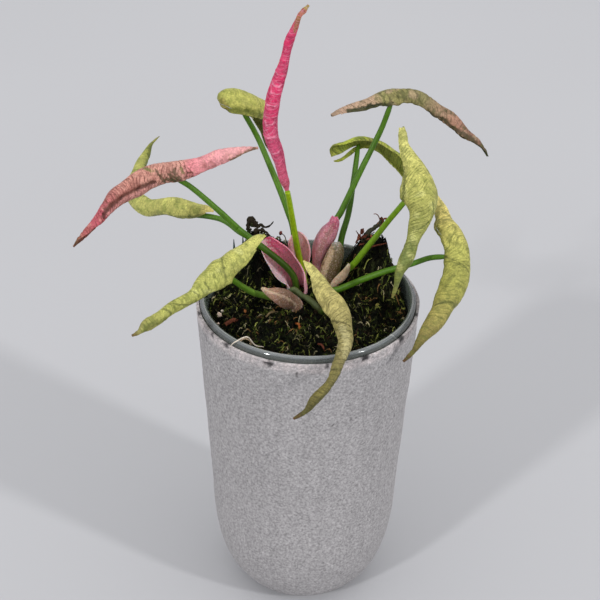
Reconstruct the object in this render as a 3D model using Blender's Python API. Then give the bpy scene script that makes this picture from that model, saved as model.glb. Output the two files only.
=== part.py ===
"""An arrowhead plant with curled leaves, growing in moss in a tall stone-coated glass pot.

Driving dimensions are in millimetres. The origin is the centre of the pot's base, +Z is up and the
front of the plant faces -Y. Leaves, petioles and sheaths are placed by short routes chosen by hand.
"""

import math

import bmesh
import bpy
import numpy as np
from mathutils import Matrix, Vector, noise

MM = 0.001
GAP = 0.3  # clearance between touching pieces
SEAT_GAP = 0.7  # from the middle of a petiole's end up to the blade that it carries

ROOM = 1.5 * GAP  # room round a round stem where it stands in the moss

# Pot
RIM_RADIUS = 45.0
POT_HEIGHT = 145.0
WAIST_RADIUS = 39.8  # outside radius where the straight wall meets the rounded bottom
WAIST_HEIGHT = 48.0
BASE_RADIUS = 19.0  # flat spot that the pot stands on
BOTTOM_POWER = 2.2  # how square the rounded bottom is, 2 for an ellipse
COAT_THICKNESS = 1.2
GLASS_THICKNESS = 2.6
BARE_RIM = 2.5  # height of glass left bare above the coat
POT_SIDES = 40
BOTTOM_STEPS = 6
LIP_STEPS = 5

# Soil and moss
SOIL_EDGE = 137.0  # height of the moss where it meets the glass
SOIL_MOUND = 4.0  # how much higher it is in the middle
MOSS_RELIEF = 1.6
MOSS_GRAIN = 7.0  # size of the moss tufts
SOIL_RINGS = 12
HEAP_EDGE = 5.0  # the heaps fall to the edge height over this distance from the glass
# Heaps of moss that stand above the rim at the back: x, y, height, radius
MOSS_HEAPS = [
    (30.0, 21.0, 22.0, 10.0),
    (36.0, 9.0, 12.0, 8.0),
    (-24.0, 26.0, 19.0, 9.0),
    (-12.0, 31.0, 10.0, 9.0),
]

# Stems stand this deep in the moss
ROOT_HEIGHT = 126.0
PETIOLE_SIDES = 7
PETIOLE_STEPS = 10
TUBE_FACING = (0.3, -1, 0.2)  # a direction that no petiole runs along, to turn its sides by

# Blades
BLADE_THICKNESS = 0.7
LEAST_HALF_WIDTH = 0.4  # at a leaf's tip
MARGIN_TUCK = 0.12  # how much tighter the roll is at the margins
ROUNDED_LOBE = 0.55  # how much narrower the end of the shorter lobe is
WAVES = 4.5  # shallow cross-wrinkles along a leaf
WAVE_SLANT = 3.0
WAVE_HEIGHT = 0.25
SLOT_ROOM = 0.5  # room round the foot of a sheath in the moss
BLADE_STEPS = 16
BLADE_COLUMNS = 10
SHEATH_STEPS = 9
SHEATH_COLUMNS = 6
SHARP_EDGE = 50  # degrees between two faces, above which their edge is drawn sharp

PINK = (0.55, 0.16, 0.20)
HOT_PINK = (0.60, 0.09, 0.22)
MAUVE = (0.34, 0.20, 0.20)
KHAKI = (0.28, 0.25, 0.14)
BEIGE = (0.55, 0.42, 0.30)
PALE_GREEN = (0.45, 0.48, 0.20)
YELLOW_GREEN = (0.50, 0.50, 0.18)
OLIVE = (0.35, 0.32, 0.16)
LEAF_GREEN = (0.22, 0.33, 0.08)
STEM_GREEN = (0.10, 0.22, 0.04)
BRIGHT_STEM = (0.26, 0.38, 0.04)
STONE = (0.42, 0.40, 0.40)
CLEAR_GLASS = (0.75, 0.78, 0.76)
DARK_MOSS = (0.02, 0.03, 0.01)

# A blade's stations run from the ends of its basal lobes to its tip: x, y, z on its middle line and
# the width that shows there. roll is the angle from the ridge to a margin in degrees and facing the
# direction that the ridge looks in, each at even steps from the lobes to the tip. sinus is the part
# of the length where the two lobes are separate, seam where they part across the blade, from -1 to 1,
# opening how far apart they stand, and lobes how long each one is.
LEAVES = {
    "leaf_pink_left": dict(
        stations=[
            (-20.1, 6, 207.5, 0.8), (-24.7, 6, 206.6, 3), (-30.1, 6, 205, 4.9), (-35.5, 6, 203.1, 6.4),
            (-40.8, 6.5, 200.5, 7), (-46.1, 7, 198.4, 8.3), (-52, 8, 196.4, 9), (-57.7, 8, 194.8, 9.2),
            (-62.8, 6.5, 193.4, 9.7), (-66.8, 3, 192.6, 9.5), (-70.6, -1, 191.5, 8.3),
            (-73.9, -5, 190.4, 7.3), (-76.5, -9, 189.1, 5.7), (-79, -12, 186.8, 4.8),
            (-82.1, -16, 184.5, 3.8), (-85.4, -19.5, 181.8, 2.9), (-88.5, -22, 179.2, 0.8),
        ],
        roll=[55, 60, 65, 105, 140, 155, 155, 140, 70],
        facing=[(0, -0.8, 0.6), (0, -0.75, 0.65), (0, 0.1, 1), (0, 0.6, 0.8), (0, 0.8, 0.6)],
        sinus=0.4, seam=-0.75, opening=0.012, lobes=(0.8, 1),
        colour=PINK,
    ),
    "leaf_pale_behind": dict(
        stations=[
            (-38.8, 24, 168.8, 1.2), (-42.2, 26, 168.5, 4.5), (-46.5, 28, 167.1, 7),
            (-52.1, 31, 166.4, 8.5), (-57.8, 34, 165.3, 8.1), (-63.7, 38, 162.6, 7.5),
            (-69.2, 42, 160.5, 8), (-73.5, 47, 160.9, 7.2), (-75.4, 54, 163.3, 6.8),
            (-74.8, 61, 164.8, 6), (-73.4, 68, 166, 5.2), (-72.2, 76, 166.7, 4.2),
            (-71, 82, 167.5, 2.7), (-69, 87, 168, 1.6), (-67.6, 91, 168, 0.7),
        ],
        roll=[80, 110, 125, 130, 125, 110, 50],
        facing=[(-0.2, -0.45, 0.87), (-0.3, -0.3, 0.9), (-0.7, 0, 0.7)],
        sinus=0.2, seam=-0.7, opening=0.015, lobes=(0.8, 1),
        colour=PALE_GREEN,
    ),
    "leaf_green_back": dict(
        stations=[
            (-37.2, 36, 213.3, 0.8), (-36.6, 36, 213.6, 5.5), (-35.1, 36, 213.6, 9.1),
            (-32.3, 36.5, 212.8, 11.5), (-29.2, 37, 211.9, 11.9), (-26.1, 38.5, 210.2, 11.6),
            (-23, 41, 207.5, 10.9), (-19.9, 45, 204.1, 9.7), (-21.5, 54, 199.5, 8.2),
            (-18.8, 62, 190, 7.5), (-16.5, 69, 177, 5.8), (-14.3, 75, 165, 0.9),
        ],
        roll=[120, 125, 120, 120, 110, 50],
        facing=[(-0.1, 0.1, 1), (0, 0.2, 1), (0.2, 0.6, 0.8)],
        sinus=0.12, seam=0.8, opening=0.02, lobes=(1, 1),
        colour=YELLOW_GREEN,
    ),
    "leaf_front_left": dict(
        stations=[
            (-17, -5, 175.3, 1.9), (-19.8, -6, 174.3, 5.5), (-22.6, -8, 172.6, 7.3),
            (-25.8, -10, 170.5, 9.1), (-28.9, -12.5, 169, 10.5), (-31.6, -14.5, 167.4, 11.4),
            (-34.2, -16.5, 166.3, 13.4), (-36.6, -19, 164.7, 11), (-39.5, -22.5, 163.5, 8.3),
            (-42.8, -26, 161.7, 6.1), (-46.4, -30, 161.5, 4.7), (-49.8, -34, 161.1, 4.7),
            (-53.4, -38, 161.1, 4.6), (-57.1, -41, 159.6, 4.7), (-60.1, -43, 158.3, 4.5),
            (-62.7, -45, 156.6, 2), (-65.2, -46, 155.8, 0.8),
        ],
        roll=[60, 75, 85, 100, 130, 145, 145, 130, 70],
        facing=[(-0.35, -0.5, 0.8), (-0.4, -0.4, 0.83), (-0.45, -0.3, 0.84)],
        sinus=0.33, seam=-0.75, opening=0.012, lobes=(0.7, 1),
        colour=YELLOW_GREEN,
    ),
    "leaf_pink_spike": dict(
        stations=[
            (-8.9, 0, 192.8, 2.6), (-10.1, 0.5, 197.7, 3.7), (-11.5, 1.5, 203.2, 4.3),
            (-13.5, 2.5, 209.4, 5.4), (-14.9, 3, 215.5, 5.7), (-15.6, 4, 221.2, 5.6),
            (-14.7, 5, 226.9, 5.8), (-13.1, 6.5, 233.1, 5.3), (-11.3, 8, 239.3, 4.3),
            (-9.5, 9.5, 245.4, 3.6), (-8.3, 10.5, 250.5, 3.3), (-5.9, 11, 256.9, 2.2),
            (-5, 12, 258.8, 1.9), (-3.4, 12.5, 260.4, 2), (-1.8, 13, 262.3, 0.8),
        ],
        roll=[150, 160, 160, 160, 140, 40],
        facing=[(-0.5, -0.8, 0.2)],
        colour=HOT_PINK,
    ),
    "leaf_olive_right": dict(
        stations=[
            (8, 30, 209.7, 4.4), (12, 31, 211, 5.2), (15.9, 31.5, 212.4, 6.3), (19.8, 32.5, 213.2, 7.2),
            (23.7, 33, 214.2, 8.2), (27.6, 34, 215.3, 9.5), (31.5, 34, 216.2, 10.4), (35, 34, 217, 9.2),
            (38.5, 34, 217.3, 7.5), (42.1, 34, 215.9, 6.9), (45.5, 33.5, 214.3, 6.5),
            (49.3, 32, 212.5, 6.5), (53.3, 30.5, 210, 6.9), (57.3, 29, 207.1, 5.9),
            (61.4, 27.5, 204, 5), (65.5, 26.5, 201.3, 3.5), (68.6, 26, 198, 1.5),
            (70.4, 25.5, 195.3, 0.8),
        ],
        roll=[80, 90, 95, 110, 125, 130, 125, 70],
        facing=[(0, 0.3, 0.95), (0, 0.3, 0.95), (0.2, 0.5, 0.85)],
        sinus=0.345, seam=0.75, opening=0.012, lobes=(1, 0.85),
        colour=OLIVE,
    ),
    "leaf_green_behind": dict(
        stations=[
            (8.8, 44, 185.3, 8.7), (11.7, 45.5, 186.1, 9.4), (14.9, 47, 187.2, 8.1), (18.4, 49, 188, 7),
            (22.3, 50.5, 188, 6.4), (26.2, 52, 186.7, 5.8), (30, 53, 184.4, 5.6),
            (33.9, 54, 181.1, 6.6), (37.4, 54, 177.6, 7), (40.6, 53.5, 173.5, 6.3),
            (43.6, 52.5, 168.4, 3.1), (45.6, 51, 162.2, 0.8),
        ],
        roll=[95, 95, 95, 95, 90, 60],
        facing=[(0.05, 0.95, 0.3), (0.2, 0.85, 0.4)],
        sinus=0.25, seam=-0.6, opening=0.15, lobes=(0.97, 0.97),
        colour=LEAF_GREEN,
    ),
    "leaf_green_right": dict(
        stations=[
            (35.5, 24, 208.4, 3.5), (35.9, 23, 205, 4), (36.5, 21.5, 201.4, 4.9),
            (38.8, 19.5, 197.4, 7.6), (41.2, 17.5, 194.1, 10.4), (42.7, 13.5, 191.2, 14.6),
            (43.6, 9.5, 188.4, 17.6), (44.3, 6, 185, 16.2), (43.8, 2.5, 181.3, 10.5),
            (42.5, 0, 177.1, 7.6), (40.9, -2.5, 173.3, 5.8), (39.1, -5, 169.6, 5.8),
            (37.5, -7.5, 166.1, 5.5), (35.8, -9.5, 162.5, 3.8), (34.5, -11, 157.9, 2.3),
            (33, -12, 152.1, 0.8),
        ],
        roll=[120, 110, 95, 90, 105, 125, 130, 120, 70],
        facing=[(0.5, -0.75, 0.45), (0.6, -0.75, 0.3), (0.6, -0.7, 0.3)],
        sinus=0.42, seam=0.75, opening=0.012, lobes=(1, 0.55),
        colour=YELLOW_GREEN,
    ),
    "leaf_green_far_right": dict(
        stations=[
            (49.1, 26, 179.3, 2.4), (50.9, 23.5, 176.7, 5.6), (52.8, 20.5, 173.9, 8.3),
            (54.5, 16.5, 171, 10.2), (55.9, 12, 168.8, 13.6), (57.8, 6.5, 166.8, 12),
            (59.2, 2.5, 163.9, 12.1), (59.2, -1.5, 160.2, 12.5), (58, -6.5, 157.4, 12.5),
            (56.1, -11, 154.6, 11.1), (53.4, -17, 152.7, 9.5), (50.3, -22.5, 150.6, 8.1),
            (46.5, -28, 148.2, 6), (43.1, -32, 145.4, 3.9), (40.8, -34, 142.6, 2.3),
            (36.8, -36, 138.7, 0.8),
        ],
        roll=[70, 90, 105, 115, 120, 125, 125, 110, 70],
        facing=[(0.85, -0.3, 0.45), (0.85, -0.35, 0.4), (0.7, -0.5, 0.5)],
        sinus=0.38, seam=0.9, opening=0.012, lobes=(1, 0.8),
        colour=YELLOW_GREEN,
    ),
    "leaf_olive_front": dict(
        stations=[
            (-2.1, -9, 166.6, 1.6), (0.4, -10.5, 164.2, 4.9), (3, -12.5, 161.6, 6),
            (5.6, -16.5, 159.6, 8.3), (7.9, -21, 158.3, 10.1), (10.3, -25.5, 157.2, 10.4),
            (12.7, -30.5, 155.9, 8.9), (13.8, -35.5, 153.5, 7.4), (14, -40.5, 150.9, 6.2),
            (12.9, -45.5, 148.3, 4.3), (11.1, -50.5, 145.7, 4.4), (8.7, -55, 143.2, 3.6),
            (5.8, -58.5, 140.9, 3.5), (2.7, -61, 138.5, 3.6), (-0, -62.5, 135.2, 2.5),
            (-4.8, -63.5, 131.9, 0.8),
        ],
        roll=[80, 90, 100, 110, 125, 130, 125, 110, 70],
        facing=[(0.5, -0.45, 0.75), (0.6, -0.6, 0.5), (0.5, -0.8, 0.3)],
        sinus=0.3, seam=0.75, opening=0.012, lobes=(1, 0.7),
        colour=OLIVE,
    ),
}

# Each petiole runs from its root in the moss to its leaf. Where the leaf is named it ends inside the
# roll at the end of the sinus, beside the seam, and where it isn't it runs up into the rolled blade.
PETIOLE_RADIUS = (1.5, 1.05)
PETIOLES = {
    "petiole_pink_left": dict(
        leaf="leaf_pink_left", colour=STEM_GREEN,
        route=[
            (-3.5, 8.5), (-4.4, 8.6, 141), (-8.7, 8.3, 152.2), (-27.4, 6.4, 170.6), (-27.4, 7.5, 169.9),
            (-37.1, 7, 180.5), (-46.6, 8, 189),
        ],
    ),
    "petiole_pale_behind": dict(
        leaf="leaf_pale_behind", colour=STEM_GREEN,
        route=[
            (-9.5, 12), (-10.8, 13.5, 151.7), (-19, 15.5, 158.4), (-28.1, 19, 162.3),
            (-37.2, 25, 165),
        ],
    ),
    "petiole_green_back": dict(
        leaf="leaf_green_back", colour=STEM_GREEN,
        route=[
            (-5.5, 21), (-5.9, 20.5, 159), (-9.4, 22.5, 172.4), (-15.5, 29, 185.7),
            (-21.5, 37.5, 195.9),
        ],
    ),
    "petiole_front_left": dict(
        leaf="leaf_front_left", colour=STEM_GREEN,
        route=[(-11.5, 4.5), (-10, 0.5, 141.3), (-16.4, -3, 145.7), (-23, -7.5, 151.1)],
    ),
    "petiole_pink_spike": dict(
        leaf=None, colour=BRIGHT_STEM,
        route=[
            (1.8, 14.8), (-3.4, 13.4, 151.9), (-5.6, 9, 167.4), (-7.7, 3.5, 184.2),
            (-8.7, 0.1, 191.8),
        ],
    ),
    "petiole_olive_right": dict(
        leaf="leaf_olive_right", colour=STEM_GREEN,
        route=[
            (5.5, 22), (7.1, 21, 158), (13.2, 22.5, 171.4), (20.4, 26.5, 187.7),
            (27.7, 31.5, 202.8),
        ],
    ),
    "petiole_green_behind": dict(
        leaf="leaf_green_behind", colour=STEM_GREEN,
        route=[(11, 19), (12.9, 20.5, 155.5), (15.9, 26, 167.1), (17.5, 31.5, 176.7)],
    ),
    "petiole_green_right": dict(
        leaf="leaf_green_right", colour=BRIGHT_STEM,
        route=[(15, 15.5), (13.2, 14.5, 142.3), (19.7, 11.5, 154.5), (29.9, 10, 171.7)],
    ),
    "petiole_green_far_right": dict(
        leaf="leaf_green_far_right", colour=STEM_GREEN,
        route=[
            (2, 3), (5.8, 5.5, 141), (13, 5, 144.6), (20.9, 4.5, 149.2), (30.7, 4, 154),
            (40.5, 3.5, 157.9), (48.2, 3, 161.4),
        ],
    ),
    "petiole_olive_front": dict(
        leaf="leaf_olive_front", colour=STEM_GREEN,
        route=[(-6, 3), (-6.6, 2.2, 144.7), (-2.4, 0.5, 143.9), (1.7, -3, 143.4), (5.6, -10, 143.4)],
    ),
}

# Sheaths and small young leaves round the crown, from their free ends down into the moss
SHEATHS = {
    "sheath_pink_left": dict(
        stations=[
            (-17.8, 11, 163.6, 6.5), (-14.4, 10.5, 159, 10.3), (-11.5, 9.5, 155.6, 12.1),
            (-8.7, 9, 151.3, 12.3), (-5.7, 9, 147.6, 9.9), (-4.5, 8.6, 143.4, 8.8),
            (-3.8, 8.8, 138.5, 8.6), (-3.4, 8.8, 133, 7.5),
        ],
        roll=[65, 75, 80, 110, 150, 160],
        facing=[(0, 0.83, -0.55)],
        colour=HOT_PINK,
    ),
    "young_leaf_mauve": dict(
        stations=[
            (-18.5, -8, 153, 0.8), (-15.9, -8.5, 151.5, 3.1), (-12.1, -8.5, 150.1, 6.8),
            (-8.3, -7.5, 147.6, 8.2), (-5.1, -6, 144, 6.4), (-4.8, -5.5, 141, 5.5),
            (-4.2, -4.8, 134, 5),
        ],
        roll=[35, 55, 65, 65],
        facing=[(-0.2, -0.6, 0.75)],
        colour=MAUVE,
    ),
    "sheath_rose_back": dict(
        stations=[
            (-4.8, 12.5, 166.6, 4), (-4.1, 13.5, 162.6, 9), (-3.5, 15, 156.9, 9.8),
            (-3.1, 16, 150.5, 7.9), (-3, 17.5, 143, 5.5), (-1.6, 17.6, 134, 5),
        ],
        roll=[60, 80],
        facing=[(0.1, 0.95, 0.2)],
        colour=PINK,
    ),
    "sheath_pink_tall": dict(
        stations=[
            (10.3, 18.5, 170.8, 3), (9.9, 18.5, 166.9, 5.1), (7.8, 18, 162.9, 7.7),
            (5.6, 17.5, 158.7, 8), (4.2, 17, 154.4, 6.9), (3.5, 17, 149.8, 4.2), (3.6, 16.6, 145.2, 3.8),
            (4.6, 16.4, 134, 4),
        ],
        roll=[50, 75, 75, 70],
        facing=[(-0.2, -0.95, 0.2)],
        colour=PINK,
    ),
    "sheath_khaki": dict(
        stations=[
            (11, 14, 161.4, 3.2), (11.2, 13.5, 157.4, 6.9), (10.2, 13, 153.1, 8.1),
            (9.1, 12.5, 148.9, 8.7), (8.3, 12, 144.5, 7.2), (8.1, 12, 139.9, 4.6), (8.8, 12, 134, 5.5),
        ],
        roll=[40, 65, 65],
        facing=[(0.1, -0.95, 0.3)],
        colour=KHAKI,
    ),
    "sheath_beige_small": dict(
        stations=[
            (16.4, 9.5, 154.1, 0.8), (15.4, 9, 151.2, 2.8), (13.7, 9, 148, 4), (11.3, 9, 145.1, 3.5),
            (10.4, 9, 141.5, 3.3), (11.5, 9, 134, 2.8),
        ],
        roll=[35, 55],
        facing=[(0.2, -0.9, 0.3)],
        colour=BEIGE,
    ),
}


def clear_scene():
    for obj in list(bpy.data.objects):
        bpy.data.objects.remove(obj, do_unlink=True)


def material(name, colour, roughness, transmission=0.0):
    made = bpy.data.materials.new(name)
    made.use_nodes = True
    shader = made.node_tree.nodes["Principled BSDF"]
    shader.inputs["Base Color"].default_value = (*colour, 1.0)
    shader.inputs["Roughness"].default_value = roughness
    shader.inputs["Metallic"].default_value = 0.0
    shader.inputs["Transmission Weight"].default_value = transmission
    return made


def add_object(name, mesh, colour, roughness=0.6, transmission=0.0):
    """Puts a mesh measured in millimetres into the scene, in metres and shaded smooth."""
    mesh.transform(Matrix.Scale(MM, 4))
    mesh.shade_smooth()
    mesh.set_sharp_from_angle(angle=math.radians(SHARP_EDGE))
    mesh.materials.append(material(name, colour, roughness, transmission))
    obj = bpy.data.objects.new(name, mesh)
    bpy.context.scene.collection.objects.link(obj)
    return obj


def as_cutter(obj):
    obj.hide_render = True
    obj.display_type = "WIRE"
    return obj


def cut(obj, cutter):
    modifier = obj.modifiers.new("hole for " + cutter.name, "BOOLEAN")
    modifier.operation = "DIFFERENCE"
    modifier.solver = "EXACT"
    modifier.object = cutter


def mesh_of(name, points, faces):
    mesh = bpy.data.meshes.new(name)
    mesh.from_pydata([tuple(p) for p in points], [], faces)
    return mesh


# Curves through points chosen by hand


def through(values, where):
    """Reads a smooth curve through evenly spaced rows of values at the fraction where, from 0 to 1."""
    rows = np.asarray(values, float)
    if len(rows) == 1:
        return rows[0]
    spans = len(rows) - 1
    place = min(max(where, 0.0), 1.0) * spans
    i = min(int(place), spans - 1)
    t = place - i
    a, b = rows[i], rows[i + 1]
    before = rows[i - 1] if i else 2 * a - b
    after = rows[i + 2] if i + 2 <= spans else 2 * b - a
    start_slope, end_slope = (b - before) / 2, (after - a) / 2
    rise = (2 * t**3 - 3 * t**2 + 1) * a + (3 * t**2 - 2 * t**3) * b
    return rise + (t**3 - 2 * t**2 + t) * start_slope + (t**3 - t**2) * end_slope


class Route:
    """A smooth line through stations, read by the fraction of its length."""

    FINE_STEPS = 240
    REACH = 0.01  # how far on either side the direction is taken from

    def __init__(self, stations, facing):
        self.rows = np.array([through(stations, k / self.FINE_STEPS) for k in range(self.FINE_STEPS + 1)])
        strides = np.linalg.norm(np.diff(self.rows[:, :3], axis=0), axis=1)
        self.run = np.concatenate([[0], np.cumsum(strides)]) / strides.sum()
        self.facing = facing

    def row(self, u):
        return np.array([np.interp(u, self.run, column) for column in self.rows.T])

    def frame(self, u):
        """The point at u, with the sideways direction and the direction of the ridge there."""
        after, before = self.row(min(u + self.REACH, 1)), self.row(max(u - self.REACH, 0))
        tangent = Vector(after[:3] - before[:3]).normalized()
        side = tangent.cross(Vector(through(self.facing, u))).normalized()
        return Vector(self.row(u)[:3]), side, side.cross(tangent)


# Rolled blades


class Blade:
    """A leaf blade or a sheath, rolled about its ridge, as its hand-chosen stations describe it."""

    def __init__(self, spec):
        self.route = Route(spec["stations"], spec["facing"])
        self.wave = spec.get("wave", 0)
        self.roll = spec["roll"]
        self.sinus = spec.get("sinus", 0)
        self.seam = spec.get("seam", 0)
        self.opening = spec.get("opening", 0)
        self.spread = spec.get("spread", 0)
        self.lobes = spec.get("lobes", (1, 1))

    def section(self, u, across, lift=0.0):
        """A point of the inner face: across is -1 and 1 at the margins and 0 at the ridge."""
        point, side, ridge = self.route.frame(u)
        half = math.radians(float(through(self.roll, u)))
        wall = BLADE_THICKNESS * min(1, half / (math.pi / 2))
        half_width = max(float(self.route.row(u)[3]) / 2 - wall, LEAST_HALF_WIDTH)
        radius = half_width / math.sin(min(half, math.pi / 2))
        middle = (1 + math.cos(half)) / 2
        angle = across * (half + self.spread / radius)
        reach = radius * (1 - MARGIN_TUCK * across**2) + lift
        offset = side * math.sin(angle) * reach + ridge * (math.cos(angle) * reach - middle * radius)
        return point + offset

    def place(self, u, side, share):
        """Where a grid point lies along and across: the two lobes part above the sinus."""
        lobe = self.lobes[0 if side < 0 else 1]
        parted = max(0.0, 1 - u / self.sinus) if self.sinus else 0.0
        start = self.seam + side * self.opening * parted**0.7
        reach = 1 - (ROUNDED_LOBE * parted**4 if lobe < 1 else 0)
        along = u + (1 - lobe) * parted * self.sinus
        return along, start + (side - start) * reach * share

    def sheet(self, name, steps, columns):
        """The inner face as a grid, split along the seam as far as the sinus goes."""
        before = min(max(2, round(columns / 2 * (1 + self.seam))), columns - 2)
        points, rows = [], []
        for k in range(steps + 1):
            u = k / steps
            row = []
            for side, spans in ((-1, before), (1, columns - before)):
                for step in range(spans + 1):
                    share = step / spans if side > 0 else 1 - step / spans
                    if side > 0 and step == 0 and u >= self.sinus:
                        row.append(row[-1])
                        continue
                    along, across = self.place(u, side, share)
                    fade = min(1, 6 * u * (1 - u))
                    wave = self.wave * math.sin(WAVES * math.tau * u + WAVE_SLANT * across) * fade
                    row.append(len(points))
                    points.append(self.section(along, across, wave))
            rows.append(row)
        faces = []
        for low, high in zip(rows, rows[1:]):
            for j in range(columns + 1):
                if j != before:
                    faces.append((low[j], low[j + 1], high[j + 1], high[j]))
        return mesh_of(name, points, faces)

    def seat(self, before):
        """Where a petiole coming from the point before ends: inside the roll, a gap off the seam."""
        _, side, ridge = self.route.frame(self.sinus)
        angle = self.seam * math.radians(float(through(self.roll, self.sinus)))
        outward = side * math.sin(angle) + ridge * math.cos(angle)
        inner_face = self.section(self.sinus, self.seam)
        rise = (inner_face - Vector(before)).normalized().dot(outward)
        return inner_face - outward * (PETIOLE_RADIUS[1] * math.sqrt(1 - rise**2) + SEAT_GAP)


def thick_blade(name, spec, steps, columns, thickness, offset):
    mesh = Blade(spec).sheet(name, steps, columns)
    form = bmesh.new()
    form.from_mesh(mesh)
    bmesh.ops.triangulate(form, faces=form.faces)
    form.to_mesh(mesh)
    form.free()
    obj = add_object(name, mesh, spec["colour"])
    thicken = obj.modifiers.new("thickness", "SOLIDIFY")
    thicken.thickness = thickness * MM
    thicken.offset = offset
    return obj


def build_leaf(name, spec):
    spec = dict(spec, wave=WAVE_HEIGHT)
    return thick_blade(name, spec, BLADE_STEPS, BLADE_COLUMNS, BLADE_THICKNESS, 1)


def build_sheath(name, spec, soil):
    """A sheath, and the slot that it stands in: the same form a gap larger on every side."""
    thick_blade(name, spec, SHEATH_STEPS, SHEATH_COLUMNS, BLADE_THICKNESS, 1)
    x, y, z, width = spec["stations"][-1]
    roomy = dict(spec, stations=[*spec["stations"][:-1], (x, y, z - SLOT_ROOM, width)], spread=SLOT_ROOM)
    thickness = BLADE_THICKNESS + 2 * SLOT_ROOM
    offset = BLADE_THICKNESS / thickness
    slot = thick_blade("slot_" + name, roomy, SHEATH_STEPS, SHEATH_COLUMNS, thickness, offset)
    cut(soil, as_cutter(slot))


# Round stems


def tube_mesh(name, stations, radii):
    route = Route(stations, [TUBE_FACING])
    points, faces = [], []
    for k in range(PETIOLE_STEPS + 1):
        point, side, ridge = route.frame(k / PETIOLE_STEPS)
        radius = radii[0] + (radii[1] - radii[0]) * k / PETIOLE_STEPS
        for j in range(PETIOLE_SIDES):
            angle = math.tau * j / PETIOLE_SIDES
            points.append(point + (side * math.cos(angle) + ridge * math.sin(angle)) * radius)
    for k in range(PETIOLE_STEPS):
        for j in range(PETIOLE_SIDES):
            low, high = k * PETIOLE_SIDES, (k + 1) * PETIOLE_SIDES
            after = (j + 1) % PETIOLE_SIDES
            faces.append((low + j, high + j, high + after, low + after))
    faces.append(tuple(range(PETIOLE_SIDES)))
    faces.append(tuple(PETIOLE_STEPS * PETIOLE_SIDES + j for j in reversed(range(PETIOLE_SIDES))))
    return mesh_of(name, points, faces)


# Pot


def outer_profile():
    """Radius and height of the coat's outside, from the flat base up to the rim."""
    points = []
    for k in range(BOTTOM_STEPS + 1):
        angle = math.pi / 2 * k / BOTTOM_STEPS
        out = math.sin(angle) ** (2 / BOTTOM_POWER)
        down = math.cos(angle) ** (2 / BOTTOM_POWER)
        radius = BASE_RADIUS + (WAIST_RADIUS - BASE_RADIUS) * out
        points.append((radius, WAIST_HEIGHT * (1 - down)))
    return [*points, (RIM_RADIUS, POT_HEIGHT - BARE_RIM)]


def inset_profile(profile, depth):
    """The same outline moved inwards, square to itself."""
    moved = []
    for k, (radius, height) in enumerate(profile):
        r0, z0 = profile[k - 1] if k else (radius - 1, height)
        r1, z1 = profile[min(k + 1, len(profile) - 1)]
        along = Vector((r1 - r0, z1 - z0)).normalized()
        moved.append((radius - along.y * depth, height + along.x * depth))
    moved[0] = (profile[0][0], profile[0][1] + depth)
    return moved


def turned_mesh(name, profile):
    """Spins a closed outline that starts and ends on the axis into a solid of revolution."""
    points, rings = [], []
    for radius, height in profile:
        if radius == 0:
            rings.append([len(points)])
            points.append((0, 0, height))
            continue
        rings.append(list(range(len(points), len(points) + POT_SIDES)))
        for j in range(POT_SIDES):
            angle = 2 * math.pi * j / POT_SIDES
            points.append((radius * math.cos(angle), radius * math.sin(angle), height))
    faces = []
    for low, high in zip(rings, rings[1:]):
        for j in range(POT_SIDES):
            nxt = (j + 1) % POT_SIDES
            if len(low) == 1:
                faces.append((low[0], high[nxt], high[j]))
            elif len(high) == 1:
                faces.append((low[j], low[nxt], high[0]))
            else:
                faces.append((low[j], low[nxt], high[nxt], high[j]))
    return mesh_of(name, points, faces)


def axis_point(height):
    return (0, height)


def build_pot():
    """The stone coat round the glass. Returns the outline that the soil fills."""
    outside = outer_profile()
    coat_inside = inset_profile(outside, COAT_THICKNESS)
    coat = [axis_point(0), *outside, *coat_inside[::-1], axis_point(COAT_THICKNESS)]
    add_object("pot_stone_coat", turned_mesh("pot_stone_coat", coat), STONE, 0.9)

    glass_depth = COAT_THICKNESS + GAP
    floor_height = glass_depth + GLASS_THICKNESS
    glass_outside = inset_profile(outside, glass_depth)
    glass_inside = inset_profile(outside, floor_height)
    lip_radius = GLASS_THICKNESS / 2
    lip_middle = glass_outside[-1][0] - lip_radius
    lip = []
    for k in range(LIP_STEPS + 1):
        angle = math.pi * k / LIP_STEPS
        height = POT_HEIGHT - lip_radius * (1 - math.sin(angle))
        lip.append((lip_middle + lip_radius * math.cos(angle), height))
    glass = [axis_point(glass_depth), *glass_outside, *lip, *glass_inside[-2::-1], axis_point(floor_height)]
    add_object("pot_glass", turned_mesh("pot_glass", glass), CLEAR_GLASS, 0.08, 0.9)
    return inset_profile(outside, floor_height + GAP)


# Soil and moss


def moss_height(x, y, edge_radius):
    """Height of the moss: a low mound, heaps at the back, and tufts that fade out at the glass."""
    from_glass = edge_radius - math.hypot(x, y)
    fade = min(1.0, from_glass / HEAP_EDGE)
    height = SOIL_EDGE + SOIL_MOUND * (1 - (math.hypot(x, y) / edge_radius) ** 2)
    for heap_x, heap_y, heap_height, heap_radius in MOSS_HEAPS:
        far = math.hypot(x - heap_x, y - heap_y) / heap_radius
        height += heap_height * math.exp(-(far**2)) * fade
    tufts = noise.noise(Vector((x / MOSS_GRAIN, y / MOSS_GRAIN, 0.0)))
    return height + MOSS_RELIEF * tufts * fade


def build_soil(inside):
    below = [point for point in inside if point[1] < SOIL_EDGE]
    (r0, z0), (r1, z1) = below[-1], inside[-1]
    edge_radius = r0 + (r1 - r0) * (SOIL_EDGE - z0) / (z1 - z0)
    rings = [axis_point(below[0][1]), *below, (edge_radius, SOIL_EDGE)]
    rings += [(edge_radius * (1 - k / SOIL_RINGS), SOIL_EDGE) for k in range(1, SOIL_RINGS)]
    mesh = turned_mesh("soil_moss", [*rings, axis_point(SOIL_EDGE)])
    for vertex in mesh.vertices:
        x, y, z = vertex.co
        if z > SOIL_EDGE - 0.01:
            vertex.co.z = moss_height(x, y, edge_radius)
    return add_object("soil_moss", mesh, DARK_MOSS, 0.95)


# The plant


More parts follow.
